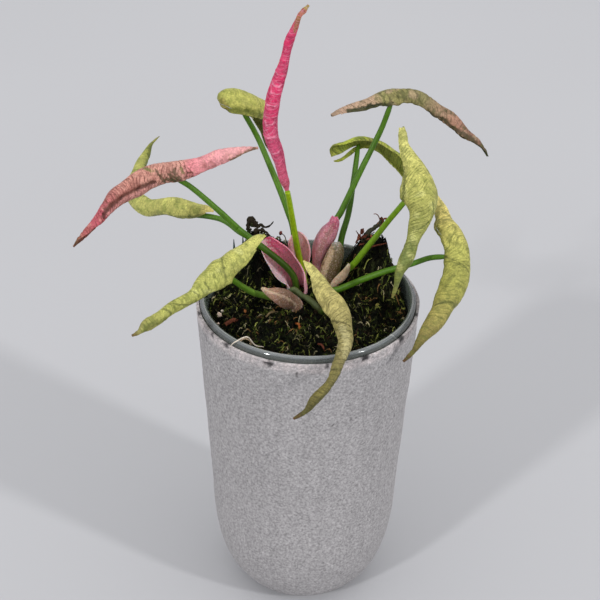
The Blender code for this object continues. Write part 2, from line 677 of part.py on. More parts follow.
def build_petiole(name, spec, soil):
    """A petiole, and the plain hole that it stands in."""
    (root_x, root_y), *rest = spec["route"]
    if spec["leaf"]:
        rest.append(tuple(Blade(LEAVES[spec["leaf"]]).seat(rest[-1])))
    stations = [(root_x, root_y, ROOT_HEIGHT), *rest]
    add_object(name, tube_mesh(name, stations, PETIOLE_RADIUS), spec["colour"])
    stations[0] = (root_x, root_y, ROOT_HEIGHT - GAP)
    hole_name = "hole_" + name
    hole = tube_mesh(hole_name, stations, [radius + ROOM for radius in PETIOLE_RADIUS])
    cut(soil, as_cutter(add_object(hole_name, hole, spec["colour"])))


clear_scene()
moss = build_soil(build_pot())
for leaf_name, leaf_spec in LEAVES.items():
    build_leaf(leaf_name, leaf_spec)
for petiole_name, petiole_spec in PETIOLES.items():
    build_petiole(petiole_name, petiole_spec, moss)
for sheath_name, sheath_spec in SHEATHS.items():
    build_sheath(sheath_name, sheath_spec, moss)
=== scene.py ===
"""The looks of the potted arrowhead plant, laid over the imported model.

Lengths are in millimetres until a mesh is made. Colours are given as they show on a screen, from 0
to 255, and turned into light values by shade().
"""

import math

import bpy
import numpy as np
from mathutils import Euler, Matrix, Vector, noise


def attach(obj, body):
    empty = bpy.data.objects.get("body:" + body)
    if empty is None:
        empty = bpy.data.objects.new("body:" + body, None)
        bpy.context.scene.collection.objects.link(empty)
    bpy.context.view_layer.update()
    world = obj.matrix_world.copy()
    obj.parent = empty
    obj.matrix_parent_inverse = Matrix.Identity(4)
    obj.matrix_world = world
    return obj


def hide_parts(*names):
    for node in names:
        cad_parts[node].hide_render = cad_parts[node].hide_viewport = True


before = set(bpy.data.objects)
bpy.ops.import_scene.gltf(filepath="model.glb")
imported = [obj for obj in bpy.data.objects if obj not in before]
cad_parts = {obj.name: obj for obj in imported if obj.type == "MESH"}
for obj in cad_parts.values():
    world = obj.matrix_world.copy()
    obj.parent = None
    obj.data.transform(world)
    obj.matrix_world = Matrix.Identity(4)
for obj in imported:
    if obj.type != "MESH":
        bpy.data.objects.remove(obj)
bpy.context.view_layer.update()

MM = 0.001
BODY = "root"
FINE = "fine_"  # the name of a piece that takes a node's place, before the node's own
UP = np.array([0, 0, 1])

# Pot, as in the model
RIM_RADIUS = 45.0
POT_HEIGHT = 145.0
WAIST_RADIUS = 39.8
WAIST_HEIGHT = 48.0
BASE_RADIUS = 19.0
BOTTOM_POWER = 2.2
COAT_THICKNESS = 1.2
GLASS_THICKNESS = 2.6
BARE_RIM = 2.5
GAP = 0.3
# Rings over the rounded bottom and up the wall of the coat's face, of its inside and of the glass
COAT_RINGS = (60, 95)
INSIDE_RINGS = (12, 12)
GLASS_RINGS = (16, 10)
POT_SIDES = 360
GLASS_SIDES = 192
LIP_STEPS = 16
# Size and height of the coat's grains, its lumps and its broad swells
GRAINS = (1.6, 0.056)
LUMPS = (3, 0.096)
SWELLS = (14, 0.25)
SMOOTH_FOOT = 1.5  # the height up to which the relief grows from nothing
# The paler band: how far under the coat's edge it starts and is full, and the size of its spots
BAND = (5, 2)
BAND_SPOTS = (2.2, 0.5)

# Moss, as in the model
SOIL_EDGE = 137.0
SOIL_MOUND = 4.0
MOSS_RELIEF = 1.6
MOSS_GRAIN = 7.0
HEAP_EDGE = 5.0
# Heaps: x, y, height and radius
MOSS_HEAPS = [(30, 21, 22, 10), (36, 9, 12, 8), (-24, 26, 19, 9), (-12, 31, 10, 9)]
LOOSE_TUFT = (20, 22, 9, 5.5)  # moss that the physical model leaves out
# Finer tufts: height, size and layer of noise, and how far they are sunk
FINE_TUFTS = [(1.5, 3.2, 0), (0.7, 1.2, 5)]
TUFT_SINK = 0.4
ROOT_HEIGHT = 126.0

# Blades, as in the model
BLADE_THICKNESS = 0.7
LEAST_HALF_WIDTH = 0.4
MARGIN_TUCK = 0.12
ROUNDED_LOBE = 0.55
OPENING = 0.012
WAVES = 4.5
WAVE_SLANT = 3.0
WAVE_HEIGHT = 0.25
PETIOLE_RADIUS = (1.5, 1.05)
TUBE_FACING = (0.3, -1, 0.2)

# Steps along the fine blades, and columns in half of their width
LEAF_GRID = (200, 22)
SHEATH_GRID = (110, 18)
# The fine blades are thinner than the model's, and keep its outer face
INNER_LIFT = 0.35
SHEATH_INNER_LIFT = 0.2
STEM_STEPS = 110
STEM_SIDES = 16
SHARP_EDGE = math.radians(55)

# Colours
ROSE = (205, 92, 110)
HOT_PINK = (210, 48, 96)
CRIMSON = (165, 40, 80)
DARK_GREEN = (50, 65, 30)
MID_GREEN = (95, 120, 45)
YELLOW_GREEN = (200, 205, 120)
LEMON = (218, 216, 120)
OLIVE = (140, 130, 70)
DARK_OLIVE = (90, 98, 42)
BROWN_PINK = (170, 125, 105)
BROWN = (90, 60, 35)
# painted shadow in the slit between the lobes of the pink leaf
PAINTED_SLIT_SHADOW = (70, 42, 32)
RED_BROWN = (105, 58, 42)
TWIG_COLOUR = (48, 42, 32)
BARK = (70, 50, 35)
GOLD = (215, 190, 120)
BEIGE = (205, 185, 150)
STEM_GREEN = (76, 116, 22)
STEM_BRIGHT = (146, 176, 22)
STEM_DARK = (56, 84, 14)
STEM_LIGHT = (112, 150, 26)
STONE = (170, 167, 168)
STONE_BAND = (216, 205, 204)
FLOOR_COLOUR = (196, 196, 199)

# A blade's stations run from the ends of its basal lobes to its tip: x, y, z on its middle line and
# the width that shows there. roll is the angle from the ridge to a margin in degrees and facing the
# direction that the ridge looks in, each at even steps from the lobes to the tip. sinus is the part
# of the length where the two lobes are separate, seam where they part across the blade, from -1 to 1,
# opening how far apart they stand, and lobes how long each one is.
LEAVES = {
    "leaf_pink_left": dict(
        stations=[
            (-20.1, 6, 207.5, 0.8), (-24.7, 6, 206.6, 3), (-30.1, 6, 205, 4.9), (-35.5, 6, 203.1, 6.4),
            (-40.8, 6.5, 200.5, 7), (-46.1, 7, 198.4, 8.3), (-52, 8, 196.4, 9), (-57.7, 8, 194.8, 9.2),
            (-62.8, 6.5, 193.4, 9.7), (-66.8, 3, 192.6, 9.5), (-70.6, -1, 191.5, 8.3),
            (-73.9, -5, 190.4, 7.3), (-76.5, -9, 189.1, 5.7), (-79, -12, 186.8, 4.8),
            (-82.1, -16, 184.5, 3.8), (-85.4, -19.5, 181.8, 2.9), (-88.5, -22, 179.2, 0.8),
        ],
        roll=[55, 60, 65, 105, 140, 155, 155, 140, 70],
        facing=[(0, -0.8, 0.6), (0, -0.75, 0.65), (0, 0.1, 1), (0, 0.6, 0.8), (0, 0.8, 0.6)], sinus=0.4,
        seam=-0.75, lobes=(0.8, 1),
    ),
    "leaf_pale_behind": dict(
        stations=[
            (-38.8, 24, 168.8, 1.2), (-42.2, 26, 168.5, 4.5), (-46.5, 28, 167.1, 7),
            (-52.1, 31, 166.4, 8.5), (-57.8, 34, 165.3, 8.1), (-63.7, 38, 162.6, 7.5),
            (-69.2, 42, 160.5, 8), (-73.5, 47, 160.9, 7.2), (-75.4, 54, 163.3, 6.8), (-74.8, 61, 164.8, 6),
            (-73.4, 68, 166, 5.2), (-72.2, 76, 166.7, 4.2), (-71, 82, 167.5, 2.7), (-69, 87, 168, 1.6),
            (-67.6, 91, 168, 0.7),
        ],
        roll=[80, 110, 125, 130, 125, 110, 50],
        facing=[(-0.2, -0.45, 0.87), (-0.3, -0.3, 0.9), (-0.7, 0, 0.7)], sinus=0.2, seam=-0.7,
        opening=0.015, lobes=(0.8, 1),
    ),
    "leaf_green_back": dict(
        stations=[
            (-37.2, 36, 213.3, 0.8), (-36.6, 36, 213.6, 5.5), (-35.1, 36, 213.6, 9.1),
            (-32.3, 36.5, 212.8, 11.5), (-29.2, 37, 211.9, 11.9), (-26.1, 38.5, 210.2, 11.6),
            (-23, 41, 207.5, 10.9), (-19.9, 45, 204.1, 9.7), (-21.5, 54, 199.5, 8.2), (-18.8, 62, 190, 7.5),
            (-16.5, 69, 177, 5.8), (-14.3, 75, 165, 0.9),
        ],
        roll=[120, 125, 120, 120, 110, 50], facing=[(-0.1, 0.1, 1), (0, 0.2, 1), (0.2, 0.6, 0.8)],
        sinus=0.12, seam=0.8, opening=0.02,
    ),
    "leaf_front_left": dict(
        stations=[
            (-17, -5, 175.3, 1.9), (-19.8, -6, 174.3, 5.5), (-22.6, -8, 172.6, 7.3),
            (-25.8, -10, 170.5, 9.1), (-28.9, -12.5, 169, 10.5), (-31.6, -14.5, 167.4, 11.4),
            (-34.2, -16.5, 166.3, 13.4), (-36.6, -19, 164.7, 11), (-39.5, -22.5, 163.5, 8.3),
            (-42.8, -26, 161.7, 6.1), (-46.4, -30, 161.5, 4.7), (-49.8, -34, 161.1, 4.7),
            (-53.4, -38, 161.1, 4.6), (-57.1, -41, 159.6, 4.7), (-60.1, -43, 158.3, 4.5),
            (-62.7, -45, 156.6, 2), (-65.2, -46, 155.8, 0.8),
        ],
        roll=[60, 75, 85, 100, 130, 145, 145, 130, 70],
        facing=[(-0.35, -0.5, 0.8), (-0.4, -0.4, 0.83), (-0.45, -0.3, 0.84)], sinus=0.33, seam=-0.75,
        lobes=(0.7, 1),
    ),
    "leaf_pink_spike": dict(
        stations=[
            (-8.9, 0, 192.8, 2.6), (-10.1, 0.5, 197.7, 3.7), (-11.5, 1.5, 203.2, 4.3),
            (-13.5, 2.5, 209.4, 5.4), (-14.9, 3, 215.5, 5.7), (-15.6, 4, 221.2, 5.6),
            (-14.7, 5, 226.9, 5.8), (-13.1, 6.5, 233.1, 5.3), (-11.3, 8, 239.3, 4.3),
            (-9.5, 9.5, 245.4, 3.6), (-8.3, 10.5, 250.5, 3.3), (-5.9, 11, 256.9, 2.2), (-5, 12, 258.8, 1.9),
            (-3.4, 12.5, 260.4, 2), (-1.8, 13, 262.3, 0.8),
        ],
        roll=[150, 160, 160, 160, 140, 40], facing=[(-0.5, -0.8, 0.2)],
    ),
    "leaf_olive_right": dict(
        stations=[
            (8, 30, 209.7, 4.4), (12, 31, 211, 5.2), (15.9, 31.5, 212.4, 6.3), (19.8, 32.5, 213.2, 7.2),
            (23.7, 33, 214.2, 8.2), (27.6, 34, 215.3, 9.5), (31.5, 34, 216.2, 10.4), (35, 34, 217, 9.2),
            (38.5, 34, 217.3, 7.5), (42.1, 34, 215.9, 6.9), (45.5, 33.5, 214.3, 6.5),
            (49.3, 32, 212.5, 6.5), (53.3, 30.5, 210, 6.9), (57.3, 29, 207.1, 5.9), (61.4, 27.5, 204, 5),
            (65.5, 26.5, 201.3, 3.5), (68.6, 26, 198, 1.5), (70.4, 25.5, 195.3, 0.8),
        ],
        roll=[80, 90, 95, 110, 125, 130, 125, 70],
        facing=[(0, 0.3, 0.95), (0, 0.3, 0.95), (0.2, 0.5, 0.85)], sinus=0.345, seam=0.75, lobes=(1, 0.85),
    ),
    "leaf_green_behind": dict(
        stations=[
            (8.8, 44, 185.3, 8.7), (11.7, 45.5, 186.1, 9.4), (14.9, 47, 187.2, 8.1), (18.4, 49, 188, 7),
            (22.3, 50.5, 188, 6.4), (26.2, 52, 186.7, 5.8), (30, 53, 184.4, 5.6), (33.9, 54, 181.1, 6.6),
            (37.4, 54, 177.6, 7), (40.6, 53.5, 173.5, 6.3), (43.6, 52.5, 168.4, 3.1),
            (45.6, 51, 162.2, 0.8),
        ],
        roll=[95, 95, 95, 95, 90, 60], facing=[(0.05, 0.95, 0.3), (0.2, 0.85, 0.4)], sinus=0.25, seam=-0.6,
        opening=0.15, lobes=(0.97, 0.97),
    ),
    "leaf_green_right": dict(
        stations=[
            (35.5, 24, 208.4, 3.5), (35.9, 23, 205, 4), (36.5, 21.5, 201.4, 4.9), (38.8, 19.5, 197.4, 7.6),
            (41.2, 17.5, 194.1, 10.4), (42.7, 13.5, 191.2, 14.6), (43.6, 9.5, 188.4, 17.6),
            (44.3, 6, 185, 16.2), (43.8, 2.5, 181.3, 10.5), (42.5, 0, 177.1, 7.6), (40.9, -2.5, 173.3, 5.8),
            (39.1, -5, 169.6, 5.8), (37.5, -7.5, 166.1, 5.5), (35.8, -9.5, 162.5, 3.8),
            (34.5, -11, 157.9, 2.3), (33, -12, 152.1, 0.8),
        ],
        roll=[120, 110, 95, 90, 105, 125, 130, 120, 70],
        facing=[(0.5, -0.75, 0.45), (0.6, -0.75, 0.3), (0.6, -0.7, 0.3)], sinus=0.42, seam=0.75,
        lobes=(1, 0.55),
    ),
    "leaf_green_far_right": dict(
        stations=[
            (49.1, 26, 179.3, 2.4), (50.9, 23.5, 176.7, 5.6), (52.8, 20.5, 173.9, 8.3),
            (54.5, 16.5, 171, 10.2), (55.9, 12, 168.8, 13.6), (57.8, 6.5, 166.8, 12),
            (59.2, 2.5, 163.9, 12.1), (59.2, -1.5, 160.2, 12.5), (58, -6.5, 157.4, 12.5),
            (56.1, -11, 154.6, 11.1), (53.4, -17, 152.7, 9.5), (50.3, -22.5, 150.6, 8.1),
            (46.5, -28, 148.2, 6), (43.1, -32, 145.4, 3.9), (40.8, -34, 142.6, 2.3),
            (36.8, -36, 138.7, 0.8),
        ],
        roll=[70, 90, 105, 115, 120, 125, 125, 110, 70],
        facing=[(0.85, -0.3, 0.45), (0.85, -0.35, 0.4), (0.7, -0.5, 0.5)], sinus=0.38, seam=0.9,
        lobes=(1, 0.8),
    ),
    "leaf_olive_front": dict(
        stations=[
            (-2.1, -9, 166.6, 1.6), (0.4, -10.5, 164.2, 4.9), (3, -12.5, 161.6, 6),
            (5.6, -16.5, 159.6, 8.3), (7.9, -21, 158.3, 10.1), (10.3, -25.5, 157.2, 10.4),
            (12.7, -30.5, 155.9, 8.9), (13.8, -35.5, 153.5, 7.4), (14, -40.5, 150.9, 6.2),
            (12.9, -45.5, 148.3, 4.3), (11.1, -50.5, 145.7, 4.4), (8.7, -55, 143.2, 3.6),
            (5.8, -58.5, 140.9, 3.5), (2.7, -61, 138.5, 3.6), (-0, -62.5, 135.2, 2.5),
            (-4.8, -63.5, 131.9, 0.8),
        ],
        roll=[80, 90, 100, 110, 125, 130, 125, 110, 70],
        facing=[(0.5, -0.45, 0.75), (0.6, -0.6, 0.5), (0.5, -0.8, 0.3)], sinus=0.3, seam=0.75,
        lobes=(1, 0.7),
    ),
}

# Each petiole runs from its root in the moss to the leaf of its name. It ends inside the roll at the
# end of the sinus, beside the seam, and the upright one runs up into the rolled blade.
UPRIGHT = "pink_spike"
PETIOLES = {
    "pink_left": [
        (-3.5, 8.5), (-4.4, 8.6, 141), (-8.7, 8.3, 152.2), (-27.4, 6.4, 170.6), (-27.4, 7.5, 169.9),
        (-37.1, 7, 180.5), (-46.6, 8, 189),
    ],
    "pale_behind": [
        (-9.5, 12), (-10.8, 13.5, 151.7), (-19, 15.5, 158.4), (-28.1, 19, 162.3), (-37.2, 25, 165),
    ],
    "green_back": [
        (-5.5, 21), (-5.9, 20.5, 159), (-9.4, 22.5, 172.4), (-15.5, 29, 185.7), (-21.5, 37.5, 195.9),
    ],
    "front_left": [(-11.5, 4.5), (-10, 0.5, 141.3), (-16.4, -3, 145.7), (-23, -7.5, 151.1)],
    "pink_spike": [
        (1.8, 14.8), (-3.4, 13.4, 151.9), (-5.6, 9, 167.4), (-7.7, 3.5, 184.2), (-8.7, 0.1, 191.8),
    ],
    "olive_right": [
        (5.5, 22), (7.1, 21, 158), (13.2, 22.5, 171.4), (20.4, 26.5, 187.7), (27.7, 31.5, 202.8),
    ],
    "green_behind": [(11, 19), (12.9, 20.5, 155.5), (15.9, 26, 167.1), (17.5, 31.5, 176.7)],
    "green_right": [(15, 15.5), (13.2, 14.5, 142.3), (19.7, 11.5, 154.5), (29.9, 10, 171.7)],
    "green_far_right": [
        (2, 3), (5.8, 5.5, 141), (13, 5, 144.6), (20.9, 4.5, 149.2), (30.7, 4, 154), (40.5, 3.5, 157.9),
        (48.2, 3, 161.4),
    ],
    "olive_front": [(-6, 3), (-6.6, 2.2, 144.7), (-2.4, 0.5, 143.9), (1.7, -3, 143.4), (5.6, -10, 143.4)],
}

# Sheaths and small young leaves round the crown, from their free ends down into the moss
SHEATHS = {
    "sheath_pink_left": dict(
        stations=[
            (-17.8, 11, 163.6, 6.5), (-14.4, 10.5, 159, 10.3), (-11.5, 9.5, 155.6, 12.1),
            (-8.7, 9, 151.3, 12.3), (-5.7, 9, 147.6, 9.9), (-4.5, 8.6, 143.4, 8.8), (-3.8, 8.8, 138.5, 8.6),
            (-3.4, 8.8, 133, 7.5),
        ],
        roll=[65, 75, 80, 110, 150, 160], facing=[(0, 0.83, -0.55)],
    ),
    "young_leaf_mauve": dict(
        stations=[
            (-18.5, -8, 153, 0.8), (-15.9, -8.5, 151.5, 3.1), (-12.1, -8.5, 150.1, 6.8),
            (-8.3, -7.5, 147.6, 8.2), (-5.1, -6, 144, 6.4), (-4.8, -5.5, 141, 5.5), (-4.2, -4.8, 134, 5),
        ],
        roll=[35, 55, 65, 65], facing=[(-0.2, -0.6, 0.75)],
    ),
    "sheath_rose_back": dict(
        stations=[
            (-4.8, 12.5, 166.6, 4), (-4.1, 13.5, 162.6, 9), (-3.5, 15, 156.9, 9.8), (-3.1, 16, 150.5, 7.9),
            (-3, 17.5, 143, 5.5), (-1.6, 17.6, 134, 5),
        ],
        roll=[60, 80], facing=[(0.1, 0.95, 0.2)],
    ),
    "sheath_pink_tall": dict(
        stations=[
            (10.3, 18.5, 170.8, 3), (9.9, 18.5, 166.9, 5.1), (7.8, 18, 162.9, 7.7), (5.6, 17.5, 158.7, 8),
            (4.2, 17, 154.4, 6.9), (3.5, 17, 149.8, 4.2), (3.6, 16.6, 145.2, 3.8), (4.6, 16.4, 134, 4),
        ],
        roll=[50, 75, 75, 70], facing=[(-0.2, -0.95, 0.2)],
    ),
    "sheath_khaki": dict(
        stations=[
            (11, 14, 161.4, 3.2), (11.2, 13.5, 157.4, 6.9), (10.2, 13, 153.1, 8.1), (9.1, 12.5, 148.9, 8.7),
            (8.3, 12, 144.5, 7.2), (8.1, 12, 139.9, 4.6), (8.8, 12, 134, 5.5),
        ],
        roll=[40, 65, 65], facing=[(0.1, -0.95, 0.3)],
    ),
    "sheath_beige_small": dict(
        stations=[
            (16.4, 9.5, 154.1, 0.8), (15.4, 9, 151.2, 2.8), (13.7, 9, 148, 4), (11.3, 9, 145.1, 3.5),
            (10.4, 9, 141.5, 3.3), (11.5, 9, 134, 2.8),
        ],
        roll=[35, 55], facing=[(0.2, -0.9, 0.3)],
    ),
}

# The looks of blades and sheaths: run holds colours from the lobes to the tip, mottles a colour with
# the size, the least level and the strength of its spots, and strokes lines of places along and
# across the blade with a width, a colour, a strength and a depth. crease, margin and inside are
# colours with a strength; inside is painted shade over the inner sheet, and painted light on two
# sheaths. spacing and slant say where the cross veins lie, and folded how far the skin is folded
# along the blade.

# Places along the pink spike where a raised arc with a painted highlight crosses it
PAINTED_HIGHLIGHT_ARCS = (0.623, 0.568, 0.53, 0.468, 0.408, 0.37, 0.307, 0.217)
LEAF_LOOKS = {
    "leaf_pink_left": dict(
        slot="leaf_pink",
        run=[
            (0, (220, 170, 150)), (0.04, (245, 182, 180)), (0.2, (242, 164, 168)), (0.31, (240, 148, 154)),
            (0.36, (222, 164, 148)), (0.62, (212, 150, 134)), (0.72, (195, 126, 118)), (0.82, ROSE),
            (0.92, (198, 105, 108)), (0.97, (130, 95, 60)), (1, DARK_GREEN),
        ],
        mottles=[((150, 88, 78), 2.4, 0.1, 0.45), ((232, 178, 160), 1.8, 0.25, 0.5)],
        strokes=[
            ([(0.5, -0.8), (0.62, -0.74), (0.72, -0.7), (0.8, -0.86)], 1.7, (225, 160, 155), 0.6, 0),
            # painted shadow along the slit between the lobes
            (
                [(0.5, -0.66), (0.61, -0.58), (0.7, -0.53), (0.76, -0.53), (0.82, -0.76)], 1.5, PAINTED_SLIT_SHADOW,
                0.85, 0.45,
            ),
            ([(0.6, -0.5), (0.76, -0.44)], 1.6, (125, 70, 60), 0.5, 0),
            ([(0.475, -0.22), (0.464, -0.5)], 1.0, DARK_GREEN, 0.75, 0),
            ([(0.462, -0.5), (0.45, -0.84)], 1.9, DARK_GREEN, 0.75, 0),
            ([(0.525, -0.06), (0.505, -0.22)], 2.0, MID_GREEN, 0.75, 0),
            ([(0.43, -0.74), (0.39, -0.86)], 2.6, DARK_GREEN, 0.8, 0),
            ([(0.408, -0.55), (0.405, -0.8)], 2.3, DARK_GREEN, 0.8, 0),
            ([(0.385, -0.3), (0.388, -0.62)], 1.9, DARK_GREEN, 0.75, 0),
            ([(0.37, -0.66), (0.375, -0.84)], 1.6, DARK_GREEN, 0.75, 0),
            ([(0.352, -0.2), (0.346, -0.4)], 1.2, MID_GREEN, 0.7, 0),
            ([(0.335, -0.08), (0.33, -0.5), (0.345, -0.8)], 0.7, (95, 60, 45), 0.7, 0.2),
            ([(0.318, -0.25), (0.31, -0.6), (0.32, -0.9)], 0.6, (105, 65, 50), 0.6, 0.15),
            ([(0.13, -0.82), (0.06, -0.8), (0.01, -0.5)], 1.3, (112, 98, 58), 0.75, 0),
        ],
        crease=((95, 60, 50), 0.5), margin=((110, 85, 55), 0.5), crease_depth=0.32,
        inside=((120, 75, 65), 0.5), spacing=1.8, ragged=0.08,
        folded=[(0, 0.15), (0.3, 0.25), (0.35, 1), (1, 1)],
    ),
    "leaf_pale_behind": dict(
        slot="leaf_green",
        run=[
            (0, GOLD), (0.08, (196, 193, 106)), (0.55, (191, 190, 108)), (0.85, (176, 178, 86)), (1, OLIVE),
        ],
        mottles=[((120, 135, 62), 2.6, 0.0, 0.5), (LEMON, 4, 0.2, 0.5)],
        strokes=[
            ([(0.7, 0.9), (0.8, 0.84), (0.92, 0.6)], 1.5, DARK_OLIVE, 0.6, 0),
            ([(0.06, -0.98), (0.2, -0.85), (0.34, -0.85)], 1.4, DARK_OLIVE, 0.6, 0),
        ],
        folded=[(0, 0.4)],
    ),
    "leaf_green_back": dict(
        slot="leaf_green",
        run=[
            (0, (150, 150, 72)), (0.03, (185, 185, 95)), (0.3, (200, 195, 105)), (0.7, YELLOW_GREEN),
            (1, OLIVE),
        ],
        mottles=[((140, 148, 62), 1.6, 0.0, 0.45)],
        strokes=[
            # painted shade on the underside strip that shows under the lower margin
            ([(0.055, 0.93), (0.14, 0.82), (0.23, 0.86)], 2.4, (112, 120, 50), 0.75, 0.2),
            ([(0.02, 0.75), (0.05, 0.95)], 2.6, (140, 118, 60), 0.5, 0),
        ],
        spacing=3.0, folded=[(0, 0.45)],
    ),
    "leaf_front_left": dict(
        slot="leaf_green",
        run=[
            (0, (210, 207, 116)), (0.25, (196, 195, 106)), (0.55, (188, 190, 102)), (0.8, (182, 182, 96)),
            (0.96, (145, 140, 82)), (0.985, (115, 90, 55)), (1, BROWN),
        ],
        mottles=[((135, 142, 68), 2.2, 0.05, 0.5), ((222, 222, 145), 5, 0.25, 0.5)],
        strokes=[
            ([(0.28, 0.35), (0.33, -0.3), (0.39, -0.95)], 0.7, DARK_GREEN, 0.55, 0.2),
            ([(0.47, -0.22), (0.475, -0.6)], 0.9, DARK_GREEN, 0.6, 0.2),
            ([(0.57, 0.1), (0.55, -0.55)], 0.7, DARK_GREEN, 0.5, 0.15),
            ([(0.74, 0.05), (0.68, -0.4), (0.615, -0.85)], 0.6, DARK_GREEN, 0.5, 0.15),
            ([(0.78, 0.0), (0.76, -0.6)], 0.8, DARK_GREEN, 0.55, 0.15),
            ([(0.5, -0.8), (0.6, -0.9)], 2.0, DARK_OLIVE, 0.5, 0),
            ([(0.8, -0.75), (0.93, -0.7)], 1.6, DARK_OLIVE, 0.5, 0),
        ],
        folded=[(0, 0.3), (0.4, 0.6), (1, 0.6)],
    ),
    "leaf_pink_spike": dict(
        slot="leaf_pink", net="leaf_bright",
        run=[
            (0, (175, 98, 95)), (0.06, (190, 80, 105)), (0.25, (200, 70, 108)), (0.45, HOT_PINK),
            (0.85, HOT_PINK), (0.9, (185, 85, 90)), (0.95, (190, 120, 95)), (0.98, (160, 150, 70)),
            (1, OLIVE),
        ],
        mottles=[(CRIMSON, 2.6, 0.0, 0.5), ((228, 90, 130), 2.2, 0.2, 0.45)],
        strokes=[
            # painted highlights along the raised arcs
            *[
                (
                    [
                        (u + 0.016, 0.2 * (k % 3) - 0.45), (u, 0.0), (u, 0.3),
                        (u + 0.012, 0.62 - 0.2 * (k % 2)),
                    ],
                    0.5, (245, 165, 188), 0.4 + 0.12 * (k % 2), -0.2,
                )
                for k, u in enumerate(PAINTED_HIGHLIGHT_ARCS)
            ],
            ([(0.1, 0.6), (0.45, 0.66), (0.8, 0.6)], 1.6, CRIMSON, 0.45, 0),
            ([(0.85, 0.4), (0.92, 0.2)], 0.8, (140, 110, 55), 0.7, 0),
            ([(0.67, -0.45), (0.685, -0.3)], 0.9, GOLD, 0.8, 0),
        ],
        # the crease colour here is a painted highlight along the raised cross ridges
        crease=((240, 140, 170), 0.25), crease_depth=-0.12, spacing=2.2, slant=0.45,
        margin=((150, 70, 60), 0.5), inside=(CRIMSON, 0.6), folded=[(0, 0.2), (0.3, 0.4), (1, 0.35)],
    ),
    "leaf_olive_right": dict(
        slot="leaf_olive",
        run=[
            (0, (175, 150, 125)), (0.06, (195, 162, 138)), (0.24, (190, 160, 130)), (0.3, (165, 158, 100)),
            (0.38, (142, 135, 82)), (0.52, (140, 132, 88)), (0.62, (165, 135, 108)), (0.75, BROWN_PINK),
            (0.9, (135, 100, 82)), (0.97, (75, 70, 45)), (1, DARK_GREEN),
        ],
        mottles=[((78, 85, 42), 1.8, 0.15, 0.6), ((212, 178, 150), 3, 0.25, 0.4)],
        strokes=[
            # painted shade on the curled-under strip along the lower margin, in these two strokes
            ([(0.1, 0.82), (0.2, 0.84), (0.33, 0.95)], 2.0, (48, 56, 22), 0.9, 0.3),
            ([(0.2, 0.78), (0.26, 0.8)], 1.2, (40, 46, 20), 0.8, 0),
            ([(0.4, 0.35), (0.42, 0.75)], 1.2, (82, 88, 45), 0.6, 0),
            ([(0.46, 0.3), (0.5, 0.7)], 1.0, (85, 88, 48), 0.5, 0),
            # painted shade along the lower edge of the tip half
            ([(0.58, 0.98), (0.66, 0.86), (0.74, 0.9), (0.88, 0.9)], 1.4, (66, 60, 40), 0.8, 0.2),
        ],
        margin=((60, 62, 30), 0.6), spacing=2.2, folded=[(0, 0.7)], ragged=0.14,
    ),
    "leaf_green_behind": dict(
        slot="leaf_green",
        run=[(0, (190, 184, 76)), (0.12, (182, 194, 66)), (0.7, (180, 182, 84)), (1, OLIVE)],
        mottles=[((120, 140, 60), 2.4, 0.0, 0.6), ((195, 190, 110), 3, 0.2, 0.5)],
        inside=((134, 146, 62), 0.6), margin=((205, 202, 105), 0.5),
    ),
    "leaf_green_right": dict(
        slot="leaf_green",
        run=[
            (0, (225, 220, 132)), (0.3, (208, 204, 114)), (0.45, (190, 188, 102)), (0.62, (174, 175, 98)),
            (0.75, (130, 141, 76)), (0.9, (118, 128, 68)), (1, OLIVE),
        ],
        mottles=[((140, 146, 70), 2.2, 0.0, 0.45), ((222, 220, 140), 4, 0.2, 0.45)],
        strokes=[
            # painted shade on the underside strip of the short lobe
            ([(0.15, 0.95), (0.36, 0.82), (0.45, 0.97)], 1.5, DARK_OLIVE, 0.7, 0.15),
            # painted shade in the crease where the blade twists
            ([(0.46, -0.05), (0.51, -0.32)], 1.0, (80, 95, 45), 0.7, 0.2),
            ([(0.6, 0.26), (0.55, -0.1), (0.52, -0.25)], 0.7, (80, 95, 45), 0.6, 0.15),
            ([(0.66, 0.6), (0.72, 0.1)], 0.8, (95, 110, 55), 0.5, 0.1),
        ],
        crease=((88, 98, 45), 0.5), spacing=1.6, slant=0.8, folded=[(0, 0.2), (0.12, 0.8), (1, 0.8)],
    ),
    "leaf_green_far_right": dict(
        slot="leaf_green",
        run=[
            (0, (248, 230, 140)), (0.15, (240, 222, 130)), (0.35, (190, 188, 98)), (0.55, (170, 168, 84)),
            (0.75, (168, 156, 86)), (0.93, (108, 96, 50)), (1, BROWN),
        ],
        mottles=[((118, 120, 58), 2.6, 0.0, 0.5)],
        strokes=[
            ([(0.1, 0.62), (0.24, 0.9), (0.4, 0.95)], 2.0, DARK_OLIVE, 0.5, 0),
            ([(0.38, 0.95), (0.43, 0.42), (0.46, 0.0)], 0.6, DARK_GREEN, 0.6, 0.2),
            ([(0.42, 0.95), (0.455, 0.25)], 0.6, DARK_GREEN, 0.5, 0.15),
            ([(0.7, 0.75), (0.64, 0.06)], 0.7, DARK_GREEN, 0.6, 0.2),
            ([(0.66, 0.3), (0.63, -0.25)], 1.8, (95, 98, 48), 0.6, 0),
        ],
        folded=[(0, 0.4), (0.3, 0.7), (1, 0.7)],
    ),
    "leaf_olive_front": dict(
        slot="leaf_olive",
        run=[
            (0, (222, 214, 132)), (0.28, (206, 192, 120)), (0.45, (170, 159, 100)), (0.62, (144, 134, 86)),
            (0.78, (130, 121, 64)), (0.93, (95, 88, 48)), (1, BROWN),
        ],
        mottles=[((118, 112, 60), 1.8, 0.05, 0.45)],
        strokes=[
            ([(0.4, 0.95), (0.42, 0.66), (0.45, 0.0)], 0.8, (60, 58, 28), 0.7, 0.25),
            ([(0.46, 0.9), (0.487, -0.05)], 0.5, (70, 68, 32), 0.55, 0.15),
            ([(0.5, 0.8), (0.527, -0.29)], 0.6, (70, 68, 32), 0.55, 0.15),
